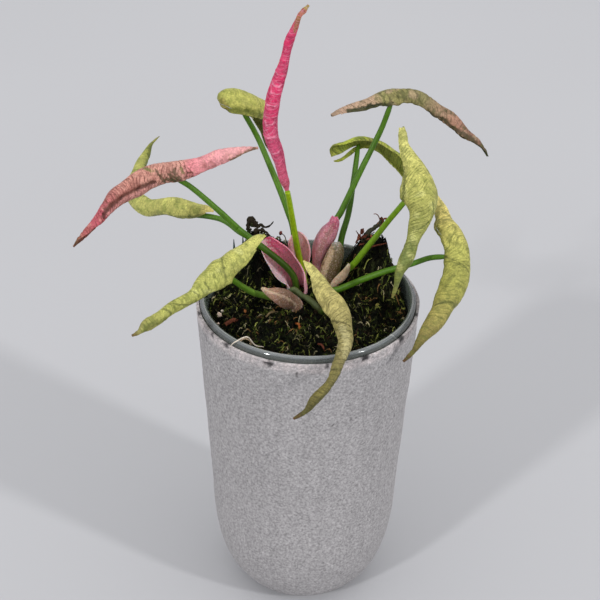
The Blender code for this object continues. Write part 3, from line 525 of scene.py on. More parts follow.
            ([(0.575, 0.8), (0.6, -0.3)], 0.6, (70, 68, 32), 0.55, 0.15),
            ([(0.7, 0.8), (0.672, -0.3)], 0.6, (70, 68, 32), 0.5, 0.15),
            ([(0.46, 0.4), (0.6, -0.1)], 2.2, (212, 202, 145), 0.5, 0),
            ([(0.62, -0.5), (0.95, -0.4)], 1.8, (88, 88, 45), 0.55, 0),
        ],
        spacing=2.4, folded=[(0, 0.35), (0.4, 0.7), (1, 0.7)],
    ),
}

# On the sheaths, inside is painted shade over the inner sheet, and painted light on the pink left and rose
# back sheaths
SHEATH_LOOKS = {
    "sheath_pink_left": dict(
        slot="sheath_pink",
        run=[(0, (214, 36, 104)), (0.16, (218, 62, 120)), (0.34, (236, 138, 158)), (1, (244, 182, 190))],
        margin=((245, 218, 222), 0.2), inside=((244, 150, 170), 0.25),
        strokes=[([(0.04, -0.8), (0.4, -0.8), (0.9, -0.8)], 8.0, (248, 222, 222), 0.9, 0)],
    ),
    "young_leaf_mauve": dict(
        slot="sheath_dry",
        run=[(0, BEIGE), (0.12, (164, 128, 100)), (0.5, (130, 98, 74)), (0.85, (96, 74, 48)), (1, BARK)],
        margin=((190, 130, 130), 0.7), inside=((100, 72, 62), 0.4),
        strokes=[([(0.05, 0.0), (0.45, 0.05), (0.75, 0.2)], 0.9, (205, 180, 150), 0.7, -0.15)],
    ),
    "sheath_rose_back": dict(
        slot="sheath_pink", run=[(0, (246, 176, 188)), (0.5, (244, 168, 180)), (1, (205, 120, 136))],
        # inside here is painted light: the pale inner face stands in for light let through the sheath
        margin=((245, 200, 205), 0.3), inside=((255, 204, 208), 0.8),
    ),
    "sheath_pink_tall": dict(
        slot="sheath_pink",
        run=[
            (0, (205, 96, 134)), (0.15, (192, 118, 135)), (0.4, (186, 128, 134)), (0.7, (214, 148, 156)),
            (1, (205, 132, 144)),
        ],
        margin=((232, 180, 188), 0.6), inside=((195, 125, 130), 0.4),
        strokes=[
            ([(0.1, 0.0), (0.4, -0.05), (0.65, 0.1)], 1.8, (138, 96, 84), 0.6, 0),
            ([(0.03, -0.5), (0.12, -0.2), (0.13, 0.5)], 1.0, (165, 55, 90), 0.6, 0),
        ],
    ),
    "sheath_khaki": dict(
        slot="sheath_dry",
        run=[(0, (134, 132, 116)), (0.12, (116, 102, 68)), (0.5, (104, 88, 48)), (1, (90, 76, 40))],
        margin=((215, 190, 150), 0.75), inside=((95, 82, 58), 0.4),
        strokes=[
            ([(0.12, 0.6), (0.6, 0.65)], 2.4, (205, 178, 140), 0.7, 0),
            ([(0.15, 0.1), (0.7, 0.1)], 1.2, (92, 78, 42), 0.6, 0),
        ],
    ),
    "sheath_beige_small": dict(
        slot="sheath_dry", run=[(0, BEIGE), (0.6, (195, 165, 135)), (1, (125, 105, 72))],
        margin=((225, 205, 175), 0.5), inside=((150, 120, 95), 0.4),
    ),
}
SHEATH_RELIEF = dict(pleat=0.03, dents=0.12, crease_depth=0.04, crease=(BARK, 0.1), ragged=0.03)
# The colour of the fine cracks and folds of each finish
NETS = {
    "leaf_pink": (112, 60, 50), "leaf_green": (92, 102, 42), "leaf_olive": (70, 66, 34),
    "leaf_bright": (240, 160, 185),
}

# Petioles: colours from root to leaf
STEM_RUNS = {
    "pink_spike": [(0, STEM_LIGHT), (0.4, STEM_BRIGHT), (1, STEM_BRIGHT)],
    "green_right": [(0, STEM_GREEN), (0.4, STEM_LIGHT), (1, STEM_LIGHT)],
    "front_left": [(0, (120, 140, 74)), (0.5, (104, 142, 50)), (1, STEM_GREEN)],
    "pink_left": [(0, STEM_DARK), (0.4, STEM_DARK), (0.6, STEM_GREEN), (1, STEM_GREEN)],
    "olive_front": [(0, (112, 124, 84)), (0.3, (92, 104, 62)), (0.6, (52, 60, 26)), (1, STEM_GREEN)],
}
STEM_SEAT_RADIUS = 0.8
STEM_RIBS = 5
RIB_RELIEF = 0.035
STEM_OVAL = 0.03
STEM_UNEVEN = 0.06
STEM_STREAKS = 0.34
STEM_SEAT_START = 0.94  # the part of its length from which a petiole narrows to its seat

# Small chips in the coat: azimuth in degrees, height, half width, half height, colour
CHIPS = [
    (-108.8, 141.4, 2.2, 1.1, (60, 58, 60)), (-60.3, 141.9, 2.0, 1.0, (62, 60, 62)),
    (-134.1, 142.0, 1.6, 0.8, (90, 86, 88)), (-165.5, 142.0, 1.5, 0.8, (90, 86, 88)),
    (-80.0, 142.0, 1.2, 0.6, (95, 90, 92)), (-94.9, 138.4, 0.7, 0.6, (105, 100, 100)),
    (-146.0, 142.0, 1.2, 0.7, (95, 90, 92)), (-12.3, 141.6, 1.4, 2.0, (95, 92, 94)),
    (-35.3, 141.8, 1.8, 1.2, (95, 92, 94)), (-32.8, 102.2, 0.6, 0.6, (110, 106, 108)),
    (-75.9, 111.7, 0.6, 0.6, (112, 108, 110)), (-66.1, 113.2, 0.5, 0.5, (112, 108, 110)),
]
CHIP_DEPTH = 0.35
CHIP_SHADE = 0.6
CHIP_COVER = 0.95
CHIP_EDGE = (1.3, 0.7)
CHIP_RAGGED = (0.9, 0.4)
# Painted light on the glass's lip, by the angle from outside, over the top at 90 degrees, to inside:
# painted shade low outside, a painted highlight over the top and a painted green reflection of the moss
# at the inner edge
LIP_PAINTED_LIGHT = [
    (0, (146, 152, 148)), (28, (140, 145, 146)), (42, (200, 205, 208)), (72, (192, 198, 200)),
    (84, (252, 254, 254)), (98, (252, 254, 254)), (110, (130, 144, 126)), (180, (176, 188, 178)),
]

# Colours of the strands of moss, with the share of each
MOSS_COLOURS = [
    ((11, 14, 6), 0.46), ((32, 42, 15), 0.2), ((86, 98, 40), 0.12), ((146, 150, 76), 0.07),
    ((46, 33, 20), 0.09), ((136, 102, 62), 0.03), ((200, 188, 146), 0.03),
]
SOIL_RINGS = 100
SOIL_SIDES = 220
BED_COLOURS = ((8, 9, 4), (24, 20, 12))
CUSHION_COLOUR = (82, 90, 48)
CUSHION_COVER = 0.7
# Levels of noise between which the bed's two colours, the clumps and the cushions grow from 0 to 1
PATCH_LEVELS = (-0.2, 0.5)
CLUMP_LEVELS = (-0.35, 0.4)
CUSHION_LEVELS = (0.1, 0.55)
PATCH_SIZE = 4  # across the two colours of the bed
CLUMP_SIZE = 8.0  # across the patches of paler and darker moss
CLUMP_LAYER = 7.5
CUSHION_SIZE = 1.5  # across the small pale cushions in them
MOSS_SEED = 71
STRANDS = 4400
STRAND_STEPS = 7
STRAND_SIDES = 3
STRAND_MARGIN = 1.0  # between the glass and the foot of a strand, and less for its end
END_MARGIN = 0.8
STRAND_SINK = 0.1
STRAND_BEND = 0.45
STRAND_LENGTH = (1.6, 5.5)
STRAND_ARCH = (0, 1.7)
STRAND_LEAN = (-0.6, 1.6)
STRAND_RADIUS = (0.1, 0.24)
STRAND_SHADES = (0.6, 1.4)
HOLLOW_SHADE = 0.35  # of strands in the dark hollows, and what the bright patches add to it
PATCH_SHADE = 0.9
LEAFLETS = 5
LEAFLET_WIDTH = 0.4
LEAFLET_THICKNESS = 0.14
LEAFLET_LENGTH = (0.5, 1.3)
LEAFLET_SPREAD = 0.9
LEAFLET_RISE = 0.35
LEAFLET_SHADES = (0.7, 1.5)

# Twigs and roots: places given, thicknesses along them, colour and size of their knots
THREADS = [
    (
        [
            (-24.5, 26, 156), (-25.2, 26, 160.1), (-24.6, 26, 163.2), (-23.4, 26, 164.4),
            (-22.7, 26, 162.6), (-21.2, 26, 161.2), (-19.8, 26, 161.6), (-18.4, 26, 160.8),
            (-16.9, 26, 160.7), (-15.6, 26, 162), (-14.6, 26, 163.4),
        ],
        (0.7, 1.0, 1.8, 2.0, 2.2, 2.6, 2.0, 1.4, 0.8, 0.6, 0.4), TWIG_COLOUR, 1.0,
    ),
    (
        [
            (-22.5, 24.5, 157.5), (-21.7, 24, 159.9), (-19.7, 24, 160.4), (-17.6, 24, 159.5),
            (-15.8, 24, 157),
        ],
        (1.2, 1.3, 1.0, 0.8), TWIG_COLOUR, 0.8,
    ),
    (
        [(-8, 25, 149), (-8.5, 26, 151.7), (-9.4, 26, 154.6), (-10, 26, 156.5), (-11, 26, 157.6)],
        (0.6, 0.5, 0.4, 0.4), (80, 55, 48), 0,
    ),
    ([(-30.6, 20, 150), (-30.6, 20, 154.5), (-30.7, 20, 158.2)], (1.1, 0.9, 0.25), (45, 70, 72), 0),
    ([(-26.9, 20, 152), (-26.9, 20, 156.5), (-27, 20, 160)], (1.1, 0.9, 0.25), (45, 65, 62), 0),
    (
        [(22, 21, 158), (24.5, 21, 162.2), (26.5, 21, 164.1), (28.4, 21, 166), (29.9, 21, 168.4)],
        (2.4, 2.2, 1.9, 1.7, 1.2), (62, 62, 48), 0.45,
    ),
    (
        [(28.7, 21, 167.9), (28, 21, 169.8), (27, 21, 170.7), (26, 21, 170.7)], (0.5, 0.4, 0.35),
        (140, 100, 90), 0,
    ),
    (
        [(24.8, 15, 158.6), (28.1, 15, 159.7), (30.1, 15, 160.2), (31.5, 15, 160.7)], (0.8, 0.7, 0.4),
        RED_BROWN, 0,
    ),
    (
        [
            (-29.5, -34, 143), (-28, -35, 145.6), (-23.2, -32.4, 146.5), (-20.2, -31.3, 142),
            (-17, -29, 139.5),
        ],
        (0.3, 0.5, 0.55, 0.5, 0.3), (225, 212, 195), 0,
    ),
    (
        [
            (-27.4, -33.4, 143.2), (-24.6, -32.6, 145.6), (-22.6, -31.6, 144.6), (-21.4, -30.4, 141.5),
            (-22.4, -28.4, 140.5),
        ],
        (0.3, 0.45, 0.5, 0.4, 0.3), (205, 180, 150), 0,
    ),
    (
        [(28.6, -27.6, 141.5), (30.6, -27.2, 143.4), (32.6, -25.8, 143), (34.4, -24, 141.2)],
        (0.25, 0.4, 0.4, 0.25), (230, 225, 215), 0,
    ),
    ([(19.5, 21, 157), (20.4, 20.6, 160.4), (19.2, 20.4, 163)], (0.9, 0.7, 0.3), RED_BROWN, 0),
    ([(30.5, 21, 166.5), (32.2, 21, 168.8), (33.6, 21, 169.4)], (0.7, 0.5, 0.25), RED_BROWN, 0),
    ([(-16.6, -10.7, 141), (-14.6, -9.3, 142.4), (-11.9, -7, 141)], (0.7, 0.9, 0.5), (150, 130, 95), 0.3),
    (
        [(-5.4, -14.5, 140.6), (-3.4, -16.4, 141.6), (-3, -19.2, 140.4)], (1.0, 1.2, 0.9), (165, 95, 50),
        0.25,
    ),
    ([(4.1, -26.4, 139.5), (5.6, -28.4, 140.4), (6.8, -30.9, 139.3)], (0.7, 0.9, 0.6), RED_BROWN, 0.25),
    ([(-32.7, -13.8, 139), (-30.3, -12, 139.8), (-27.8, -10.2, 139)], (1.6, 1.9, 1.4), (110, 62, 45), 0.25),
]
THREAD_STEPS = 40
THREAD_SIDES = 7
KNOT_SIZE = 1.4
KNOT_TURN = 0.9
# Crumbs in the moss: place, size and colour
CRUMBS = [
    ((-35.3, -7.7, 139.6), (2.2, 1.8, 1.6), (228, 205, 185)),
    ((-37.6, -11.9, 138.6), (2.2, 1.6, 1.2), (222, 190, 168)),
    ((-35.6, -12.6, 138.6), (1.5, 1.2, 1.0), (226, 200, 182)),
    ((-34.4, -4.8, 139.4), (1.3, 1.2, 1.0), (210, 198, 180)),
    ((-23.6, 26.0, 161.9), (2.6, 1.8, 2.2), (44, 48, 26)),
    ((-21.6, 26.0, 159.0), (3.0, 1.8, 1.8), (40, 42, 24)),
    ((-19.2, 25.5, 159.4), (2.4, 1.6, 1.5), (52, 46, 30)),
    ((-24.6, 26.0, 158.6), (2.0, 1.6, 2.4), (38, 42, 22)),
    ((-25.1, -6.0, 140.4), (2.2, 1.1, 0.8), (160, 100, 58)),
    ((-11.6, 26.0, 157.9), (1.7, 1.2, 1.6), (120, 62, 55)),
    ((28.1, 0.0, 140.0), (2.4, 2.0, 1.4), (160, 150, 80)),
    ((25.0, 0.0, 139.6), (1.8, 1.5, 1.2), (105, 75, 60)),
    ((22.3, 1.0, 140.2), (1.5, 1.5, 1.0), (110, 70, 55)),
    ((20.8, 0.0, 140.0), (1.2, 1.0, 0.8), (165, 155, 125)),
]
# Reddish scraps of old sheath on the heap at the back: place and size
SCRAPS = [
    ((22.9, 20.5, 160.7), (3.8, 0.9, 2.8)), ((24.2, 20.5, 158.3), (4.0, 0.9, 3.0)),
    ((20.6, 21.0, 159.6), (2.6, 0.8, 3.2)), ((21.7, 21.0, 162.4), (2.4, 0.8, 2.6)),
    ((22.4, 20.0, 157.0), (3.6, 0.9, 2.4)), ((25.6, 20.0, 160.6), (2.0, 0.7, 3.0)),
    ((29.5, 21.0, 167.7), (2.8, 0.9, 2.4)), ((31.0, 21.0, 168.6), (2.4, 0.8, 1.6)),
    ((28.8, 21.0, 166.0), (2.2, 0.8, 2.4)),
]
CRUMB_RINGS = 10
CRUMB_SIDES = 16
CRUMB_LUMPS = (1 / 1.9, 0.5)
CRUMB_TURNS = np.array([1.7, 0.9, 2.3])
SCRAP_SEED, CRUMB_SEED, THREAD_SEED = 3, 20, 5

# Stage
FLOOR_SIZE = 12.0
CAMERA_PLACE = (-0.00317, -0.4584, 0.4490)
CAMERA_PITCH = math.radians(33.79)
CAMERA_ROLL = 0.0172
SENSOR = 36.0
FRAME_PIXELS = 600
FOCAL_PIXELS = 1367
SKY_COLOUR = (0.97, 0.98, 1.0, 1)
SKY_LIGHT = 0.62
KEY_AZIMUTHS = (-32, -132)
KEY_ELEVATION = 30
KEY_STRENGTH = 0.95
KEY_SPREAD = math.radians(4.5)
TOP_SIZE = 1.6
TOP_PLACE = (0, 0.15, 1.7)
TOP_POWER = 6.0

# Numbers as fields


def shade(colour):
    """Turns a colour as it shows on a screen into linear light values."""
    part = np.array(colour) / 255
    return np.where(part <= 0.04045, part / 12.92, ((part + 0.055) / 1.055) ** 2.4)


def unit(vectors):
    return vectors / np.linalg.norm(vectors, axis=-1, keepdims=True)


def smooth_step(start, end, value):
    t = np.clip((value - start) / (end - start), 0, 1)
    return t * t * (3 - 2 * t)


def blend(below, above, share):
    """Mixes two colours, or two fields of colours, point by point."""
    share = np.asarray(share)[..., None]
    return below * (1 - share) + above * share


def colours_along(stops, where):
    """Light values between the colours of stops, each a place and a colour."""
    places, colours = zip(*stops)
    return np.stack([np.interp(where, places, column) for column in shade(colours).T], axis=-1)


class Noise:
    """Smooth seeded noise in three dimensions, from about -1 to 1."""

    CELLS = 256
    STRENGTH = 1.6

    def __init__(self, seed):
        draw = np.random.default_rng(seed)
        self.order = draw.permutation(self.CELLS)
        self.slopes = unit(draw.normal(size=(self.CELLS, 3)))

    def at(self, x, y, z=0.0):
        point = np.stack(np.broadcast_arrays(x, y, z), axis=-1).astype(float)
        cell = np.floor(point).astype(int)
        inside = point - cell
        fade = inside**3 * (inside * (inside * 6 - 15) + 10)
        total = np.zeros(point.shape[:-1])
        for corner in np.ndindex(2, 2, 2):
            key = 0
            for axis in range(3):
                key = self.order[(key + cell[..., axis] + corner[axis]) % self.CELLS]
            weight = np.prod(np.where(corner, fade, 1 - fade), axis=-1)
            total += weight * np.sum(self.slopes[key] * (inside - corner), axis=-1)
        return total * self.STRENGTH

    def over(self, points, size, height=1.0):
        return height * self.at(*(points / size).T)


# Curves and blades, read as in the model, for whole arrays of places at once


def through(values, where):
    """Reads a smooth curve through evenly spaced rows of values at fractions from 0 to 1."""
    rows = np.array(values, float).reshape(len(values), -1)
    where = np.clip(where, 0, 1)
    if len(rows) == 1:
        return np.broadcast_to(rows[0], (*np.shape(where), rows.shape[1]))
    spans = len(rows) - 1
    place = where * spans
    i = np.minimum(np.floor(place).astype(int), spans - 1)
    t = (place - i)[..., None]
    ends = np.vstack([2 * rows[0] - rows[1], rows, 2 * rows[-1] - rows[-2]])
    before, a, b, after = ends[i], ends[i + 1], ends[i + 2], ends[i + 3]
    rise = (2 * t**3 - 3 * t**2 + 1) * a + (3 * t**2 - 2 * t**3) * b
    return rise + (t**3 - 2 * t**2 + t) * (b - before) / 2 + (t**3 - t**2) * (after - a) / 2


class Route:
    """A smooth line through stations, read by the fraction of its length."""

    FINE_STEPS = 240
    REACH = 0.01

    def __init__(self, stations, facing):
        self.rows = through(stations, np.arange(self.FINE_STEPS + 1) / self.FINE_STEPS)
        strides = np.linalg.norm(np.diff(self.rows[:, :3], axis=0), axis=1)
        self.length = strides.sum()
        self.run = np.concatenate([[0], np.cumsum(strides)]) / self.length
        self.facing = facing

    def row(self, u):
        return np.stack([np.interp(u, self.run, column) for column in self.rows.T], axis=-1)

    def frame(self, u):
        """The points at u, with the sideways directions and the directions of the ridge there."""
        after, before = self.row(np.minimum(u + self.REACH, 1)), self.row(np.maximum(u - self.REACH, 0))
        tangent = unit(after[..., :3] - before[..., :3])
        side = unit(np.cross(tangent, through(self.facing, u)))
        return self.row(u)[..., :3], side, np.cross(side, tangent)


class Blade:
    """A rolled blade or sheath: u runs from its lobes to its tip, across from margin to margin."""

    def __init__(self, stations, roll, facing, sinus=0, seam=0, opening=OPENING, lobes=(1, 1)):
        self.route = Route(stations, facing)
        self.roll, self.sinus, self.seam, self.opening, self.lobes = roll, sinus, seam, opening, lobes

    def shape(self, u):
        """Half of the rolled angle, and the radius of the roll."""
        half = np.radians(through(self.roll, u)[..., 0])
        wall = BLADE_THICKNESS * np.minimum(1, half / (math.pi / 2))
        half_width = np.maximum(self.route.row(u)[..., 3] / 2 - wall, LEAST_HALF_WIDTH)
        return half, half_width / np.sin(np.minimum(half, math.pi / 2))

    def spread(self, u, across):
        """Millimetres along the blade, and across it once it is unrolled."""
        half, radius = self.shape(np.asarray(u))
        return u * self.route.length, across * (half * radius)

    def section(self, u, across, lift=0.0, curl=1.0):
        point, side, ridge = self.route.frame(u)
        half, radius = self.shape(u)
        middle = (1 + np.cos(half)) / 2
        angle = across * half * curl
        reach = radius * (1 - MARGIN_TUCK * across**2) + lift
        sideways = (np.sin(angle) * reach)[..., None]
        upward = (np.cos(angle) * reach - middle * radius)[..., None]
        return point + side * sideways + ridge * upward

    def grid(self, steps, columns):
        """Places along and across for a grid of points, and its faces: the lobes part at the sinus."""
        u = np.linspace(0, 1, steps + 1)[:, None]
        before = max(2, round(columns * (1 + self.seam)))
        after = max(2, 2 * columns - before)
        share = np.concatenate([np.linspace(1, 0, before + 1), np.linspace(0, 1, after + 1)])[None]
        side = np.repeat([-1, 1], [before + 1, after + 1])[None]
        lobe = np.where(side < 0, *self.lobes)
        parted = np.maximum(0, 1 - u / self.sinus) if self.sinus else 0 * u
        start = self.seam + side * self.opening * parted**0.7
        reach = 1 - ROUNDED_LOBE * parted**4 * (lobe < 1)
        along = u + (1 - lobe) * parted * self.sinus
        across = start + (side - start) * reach * share
        index = np.arange(along.size).reshape(along.shape)
        joined = u[:, 0] >= self.sinus
        index[joined, before + 1] = index[joined, before]
        corners = [index[:-1, :-1], index[:-1, 1:], index[1:, 1:], index[1:, :-1]]
        quads = np.delete(np.stack(corners, axis=-1), before, axis=1)
        return along, across, np.swapaxes(quads, 0, 1).reshape(-1, 4)

    def seat(self, before, radius):
        """Where the middle of a petiole ends, inside the roll and touching the seam."""
        _, side, ridge = self.route.frame(self.sinus)
        angle = self.seam * self.shape(self.sinus)[0]
        outward = side * math.sin(angle) + ridge * math.cos(angle)
        inner_face = self.section(self.sinus, self.seam, INNER_LIFT)
        rise = unit(inner_face - before) @ outward
        return inner_face - outward * radius * math.sqrt(1 - rise**2)


# Meshes


def place_piece(name, points, faces, tint, finish, slot, folds=None, folded=1.0):
    """Makes a piece from points in millimetres, colours it and hangs it on the plant's body."""
    used, faces = np.unique(faces, return_inverse=True)
    mesh = bpy.data.meshes.new(name)
    corners = [list(dict.fromkeys(face)) for face in faces.reshape(-1, 4).tolist()]
    mesh.from_pydata((points[used] * MM).tolist(), [], corners)
    colours = np.empty((len(used), 4))
    colours[:, :3] = np.clip(tint[used], 0, 1)
    colours[:, 3] = np.broadcast_to(folded, len(tint))[used]
    mesh.color_attributes.new("tint", "FLOAT_COLOR", "POINT").data.foreach_set("color", colours.ravel())
    if folds is not None:
        mesh.attributes.new("folds", "FLOAT_VECTOR", "POINT").data.foreach_set("vector", folds[used].ravel())
    mesh.shade_smooth()
    mesh.set_sharp_from_angle(angle=SHARP_EDGE)
    mesh.materials.append(finish)
    piece = bpy.data.objects.new(name, mesh)
    bpy.context.scene.collection.objects.link(piece)
    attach(piece, BODY)
    if name.startswith(FINE):
        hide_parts(name.removeprefix(FINE))


def thickened(outer, inner, quads):
    """Joins an outer and an inner sheet with the same faces into one closed skin."""
    count = len(outer)
    starts, ends = quads.ravel(), np.roll(quads, -1, axis=1).ravel()
    real = starts != ends
    starts, ends = starts[real], ends[real]
    free = ~np.isin(starts * count + ends, ends * count + starts)
    a, b = starts[free], ends[free]
    edge = np.stack([b, a, a + count, b + count], axis=-1)
    return np.concatenate([outer, inner]), np.concatenate([quads, quads[:, ::-1] + count, edge])


def circle(side, ridge, sides):
    """Directions all round the lines that have these sideways and ridge directions."""
    angle = np.arange(sides)[:, None] * math.tau / sides
    return side[..., None, :] * np.cos(angle) + ridge[..., None, :] * np.sin(angle)


def walls(index):
    """Faces from each ring of numbered points to the next."""
    after = np.roll(index, -1, axis=-1)
    corners = [index[..., :-1, :], index[..., 1:, :], after[..., 1:, :], after[..., :-1, :]]
    return np.stack(corners, axis=-1).reshape(-1, 4)


def capped(rings, start, end):
    """Points and faces of a skin over rings of points, closed by a point at each end."""
    count, sides, _ = rings.shape
    index = np.arange(count * sides).reshape(count, sides)
    after = np.roll(index, -1, axis=1)
    first, last = np.full((2, sides), [[index.size], [index.size + 1]])
    foot = np.stack([index[0], after[0], first, first], axis=-1)
    head = np.stack([after[-1], index[-1], last, last], axis=-1)
    return np.concatenate([rings.reshape(-1, 3), [start, end]]), np.concatenate([walls(index), foot, head])


def tube(points, radii, sides, side, ridge):
    """Points and faces of a closed tube along a line of points, with the given cross directions."""
    reach = circle(side, ridge, sides) * np.reshape(radii, (len(points), -1, 1))
    return capped(points[:, None] + reach, points[0], points[-1])


def turned(outline, sides):
    """Points and faces of a solid turned about the pot's axis, from one point on it to another."""
    radius, height = outline.T[..., None, None]
    rings = radius * circle(np.array([1, 0, 0]), np.array([0, 1, 0]), sides) + height * UP
    points, faces = capped(rings[1:-1], rings[0, 0], rings[-1, 0])
    return points, faces[:, [0, 3, 2, 1]]


def gather(parts):
    """Joins several skins, each with points, faces and one colour, into one."""
    start, points, faces, tints = 0, [], [], []
    for skin, quads, tint in parts:
        points.append(skin)
        faces.append(quads + start)
        tints.append(np.broadcast_to(tint, skin.shape))
        start += len(skin)
    return np.concatenate(points), np.concatenate(faces), np.concatenate(tints)


# Materials


class Finish:
    """A node material whose colour starts from the tint painted on the mesh, or from one colour."""

    def __init__(self, name, roughness, specular, colour=None):
        self.made = bpy.data.materials.new(name)
        self.made.use_nodes = True
        self.shader = self.made.node_tree.nodes["Principled BSDF"]
        self.fill(self.shader, {"Roughness": roughness, "Specular IOR Level": specular})
        self.place = self.node("TexCoord")["Object"]
        self.height = None
        if colour:
            self.colour = self.node("RGB")["Color"]
            self.colour.default_value = (*shade(colour), 1)
        else:
            tint = self.node("Attribute", attribute_name="tint")
            self.colour, self.folded = tint["Color"], tint["Alpha"]

    def fill(self, node, inputs):
        """Sets inputs of a node to values, or links them to the outputs of other nodes."""
        for key, value in inputs.items():
            if isinstance(value, bpy.types.NodeSocket):
                self.made.node_tree.links.new(value, node.inputs[key])
            elif value is not None:
                node.inputs[key].default_value = value

    def node(self, kind, inputs=None, **settings):
        """Makes a node and returns its outputs."""
        made = self.made.node_tree.nodes.new("ShaderNode" + kind)
        for key, value in settings.items():
            setattr(made, key, value)
        self.fill(made, inputs or {})
        return made.outputs

    def scaled(self, scale):
        return self.node("Mapping", {"Vector": self.place, "Scale": scale})["Vector"]

    def noise(self, size, detail=3.0, place=None):
        """Noise with features of the given size in millimetres."""
        inputs = {"Vector": place or self.place, "Scale": 1 / (size * MM), "Detail": detail}
        return self.node("TexNoise", inputs)["Fac"]

    def warped(self, size, shift):
        """The place on the object, shifted unevenly, so that nothing laid on it runs straight."""
        bends = self.node("TexNoise", {"Vector": self.place, "Scale": 1 / (size * MM)})["Color"]
        inputs = {0: bends, 1: [shift * MM] * 3, 2: self.place}
        return self.node("VectorMath", inputs, operation="MULTIPLY_ADD")["Vector"]

    def cells(self, size, place, breaks):
        """The distance to the edge of irregular cells of a size in millimetres, with broken edges."""
        inputs = {"Vector": place, "Scale": 1 / (size * MM)}
        edge = self.node("TexVoronoi", inputs, feature="DISTANCE_TO_EDGE")["Distance"]
        gaps = self.remap(self.noise(2.5 * size), 0.4, 0.6, 0, breaks)
        return self.node("Math", {0: edge, 1: gaps}, operation="ADD")["Value"]

    def folds(self, spacing, bend, breaks):
        """Thin broken lines across a blade, from the places and the share of its folds on the mesh."""
        place = self.node("Attribute", attribute_name="folds")["Vector"]
        inputs = {"Vector": place, "Scale": math.pi / 10 / spacing, "Distortion": bend, "Detail": 2.0}
        inputs.update({"Detail Scale": 2.0, "Phase Offset": math.pi})
        lines = self.remap(self.node("TexWave", inputs)["Fac"], 0.8, 1.0)
        for share in (self.remap(self.noise(breaks), 0.4, 0.55), self.folded):
            lines = self.node("Math", {0: lines, 1: share}, operation="MULTIPLY")["Value"]
        return lines

    def remap(self, value, low, high, out_low=0, out_high=1):
        inputs = {"Value": value, "From Min": low, "From Max": high, "To Min": out_low, "To Max": out_high}
        return self.node("MapRange", inputs)["Result"]

    def brighten(self, value, dark, light, low=0.3, high=0.7):
        """Scales the colour from dark to light where the value runs from low to high."""
        inputs = {"Vector": self.colour, "Scale": self.remap(value, low, high, dark, light)}
        self.colour = self.node("VectorMath", inputs, operation="SCALE")["Vector"]

    def overlay(self, value, low, high, colour, strength):
        """Lays another colour over the first where the value runs from low to high."""
        inputs = {0: self.remap(value, low, high, 0, strength), 6: self.colour, 7: (*shade(colour), 1)}
        self.colour = self.node("Mix", inputs, data_type="RGBA")[2]

    def raised(self, value, depth, strength=1.0):
        """Adds relief of the given depth in millimetres to what is there already."""
        inputs = {"Strength": strength, "Distance": abs(depth) * MM, "Height": value, "Normal": self.height}
        self.height = self.node("Bump", inputs, invert=depth < 0)["Normal"]

    def finished(self):
        self.fill(self.shader, {"Base Color": self.colour, "Normal": self.height})
        return self.made


def leaf_finish(name, net_colour):
    """A thin dry blade: fine mottling, a broken net of fine cracks and a soft sheen."""
    skin = Finish(name, 0.55, 0.25)
    place = skin.warped(2.2, 2.4)
    fine, broad = skin.noise(0.7, 5.0), skin.noise(3.2)
    skin.brighten(broad, 0.82, 1.12)
    skin.brighten(fine, 0.72, 1.24)
    net, cracks = skin.cells(1.6, place, 0.1), skin.cells(4.4, place, 0.06)
    folds, fine_folds = skin.folds(0.85, 2.5, 3.0), skin.folds(0.36, 3.5, 1.8)
    skin.overlay(net, 0.07, 0.0, net_colour, 0.3)
    skin.overlay(cracks, 0.04, 0.0, net_colour, 0.45)
    skin.overlay(folds, 0.0, 1.0, net_colour, 0.75)
    skin.overlay(fine_folds, 0.0, 1.0, net_colour, 0.6)
    skin.fill(skin.shader, {"Roughness": skin.remap(broad, 0.3, 0.7, 0.45, 0.65)})
    skin.raised(fine, 0.12)
    skin.raised(net, 0.3, 0.4)
    skin.raised(folds, -0.25, 0.6)
    skin.raised(fine_folds, -0.15, 0.5)
    return skin.finished()


def stem_finish():
    """A petiole's skin: fine lengthwise streaks and a faint grain."""
    skin = Finish("stem skin", 0.45, 0.3)
    streaks = skin.noise(0.5, 4.0, skin.scaled((1, 1, 0.12)))
    skin.brighten(streaks, 0.76, 1.24)
    skin.brighten(skin.noise(0.35), 0.9, 1.1, 0.35, 0.65)
    skin.raised(streaks, 0.08)
    return skin.finished()


def sheath_finish():
    """A sheath's skin: pale and dark speckles over fine lengthwise streaks, with light let through."""
    skin = Finish("sheath skin", 0.5, 0.4)
    skin.fill(skin.shader, {"Subsurface Weight": 0.35, "Subsurface Scale": 1.5 * MM})
    streaks = skin.noise(0.6, 4.0, skin.scaled((1, 1, 0.2)))
    skin.brighten(streaks, 0.82, 1.12)
    skin.overlay(skin.noise(0.45), 0.52, 0.68, (228, 200, 196), 0.5)
    skin.overlay(skin.noise(0.6, place=skin.warped(1.0, 1.0)), 0.46, 0.3, (112, 66, 62), 0.55)
    skin.raised(streaks, 0.1)
    return skin.finished()


def moss_finish(name, roughness):
    skin = Finish(name, roughness, 0.12)
    grain = skin.noise(0.4, 4.0)
    skin.brighten(grain, 0.4, 1.5)
    skin.raised(grain, 0.25)
    return skin.finished()


def glass_finish():
    skin = Finish("clear glass", 0.08, 0.7)
    skin.fill(skin.shader, {"Transmission Weight": 0.7, "IOR": 1.48})
    skin.raised(skin.noise(14.0, 1.0), 0.05, 0.3)
    return skin.finished()


def stone_finish():
    """Sprayed stone: sandy grains of light and dark, with faint runs down the wall."""
    skin = Finish("stone coat", 0.88, 0.2)
    grain, fine = skin.noise(1.0, 5.0), skin.noise(0.4, 2.0)
    skin.brighten(skin.noise(3.0, 3.0, skin.scaled((1, 1, 0.08))), 0.95, 1.05)
    skin.brighten(grain, 0.66, 1.3)
    skin.brighten(fine, 0.76, 1.2)
    skin.raised(grain, 0.12)
    skin.raised(fine, 0.1)
    return skin.finished()


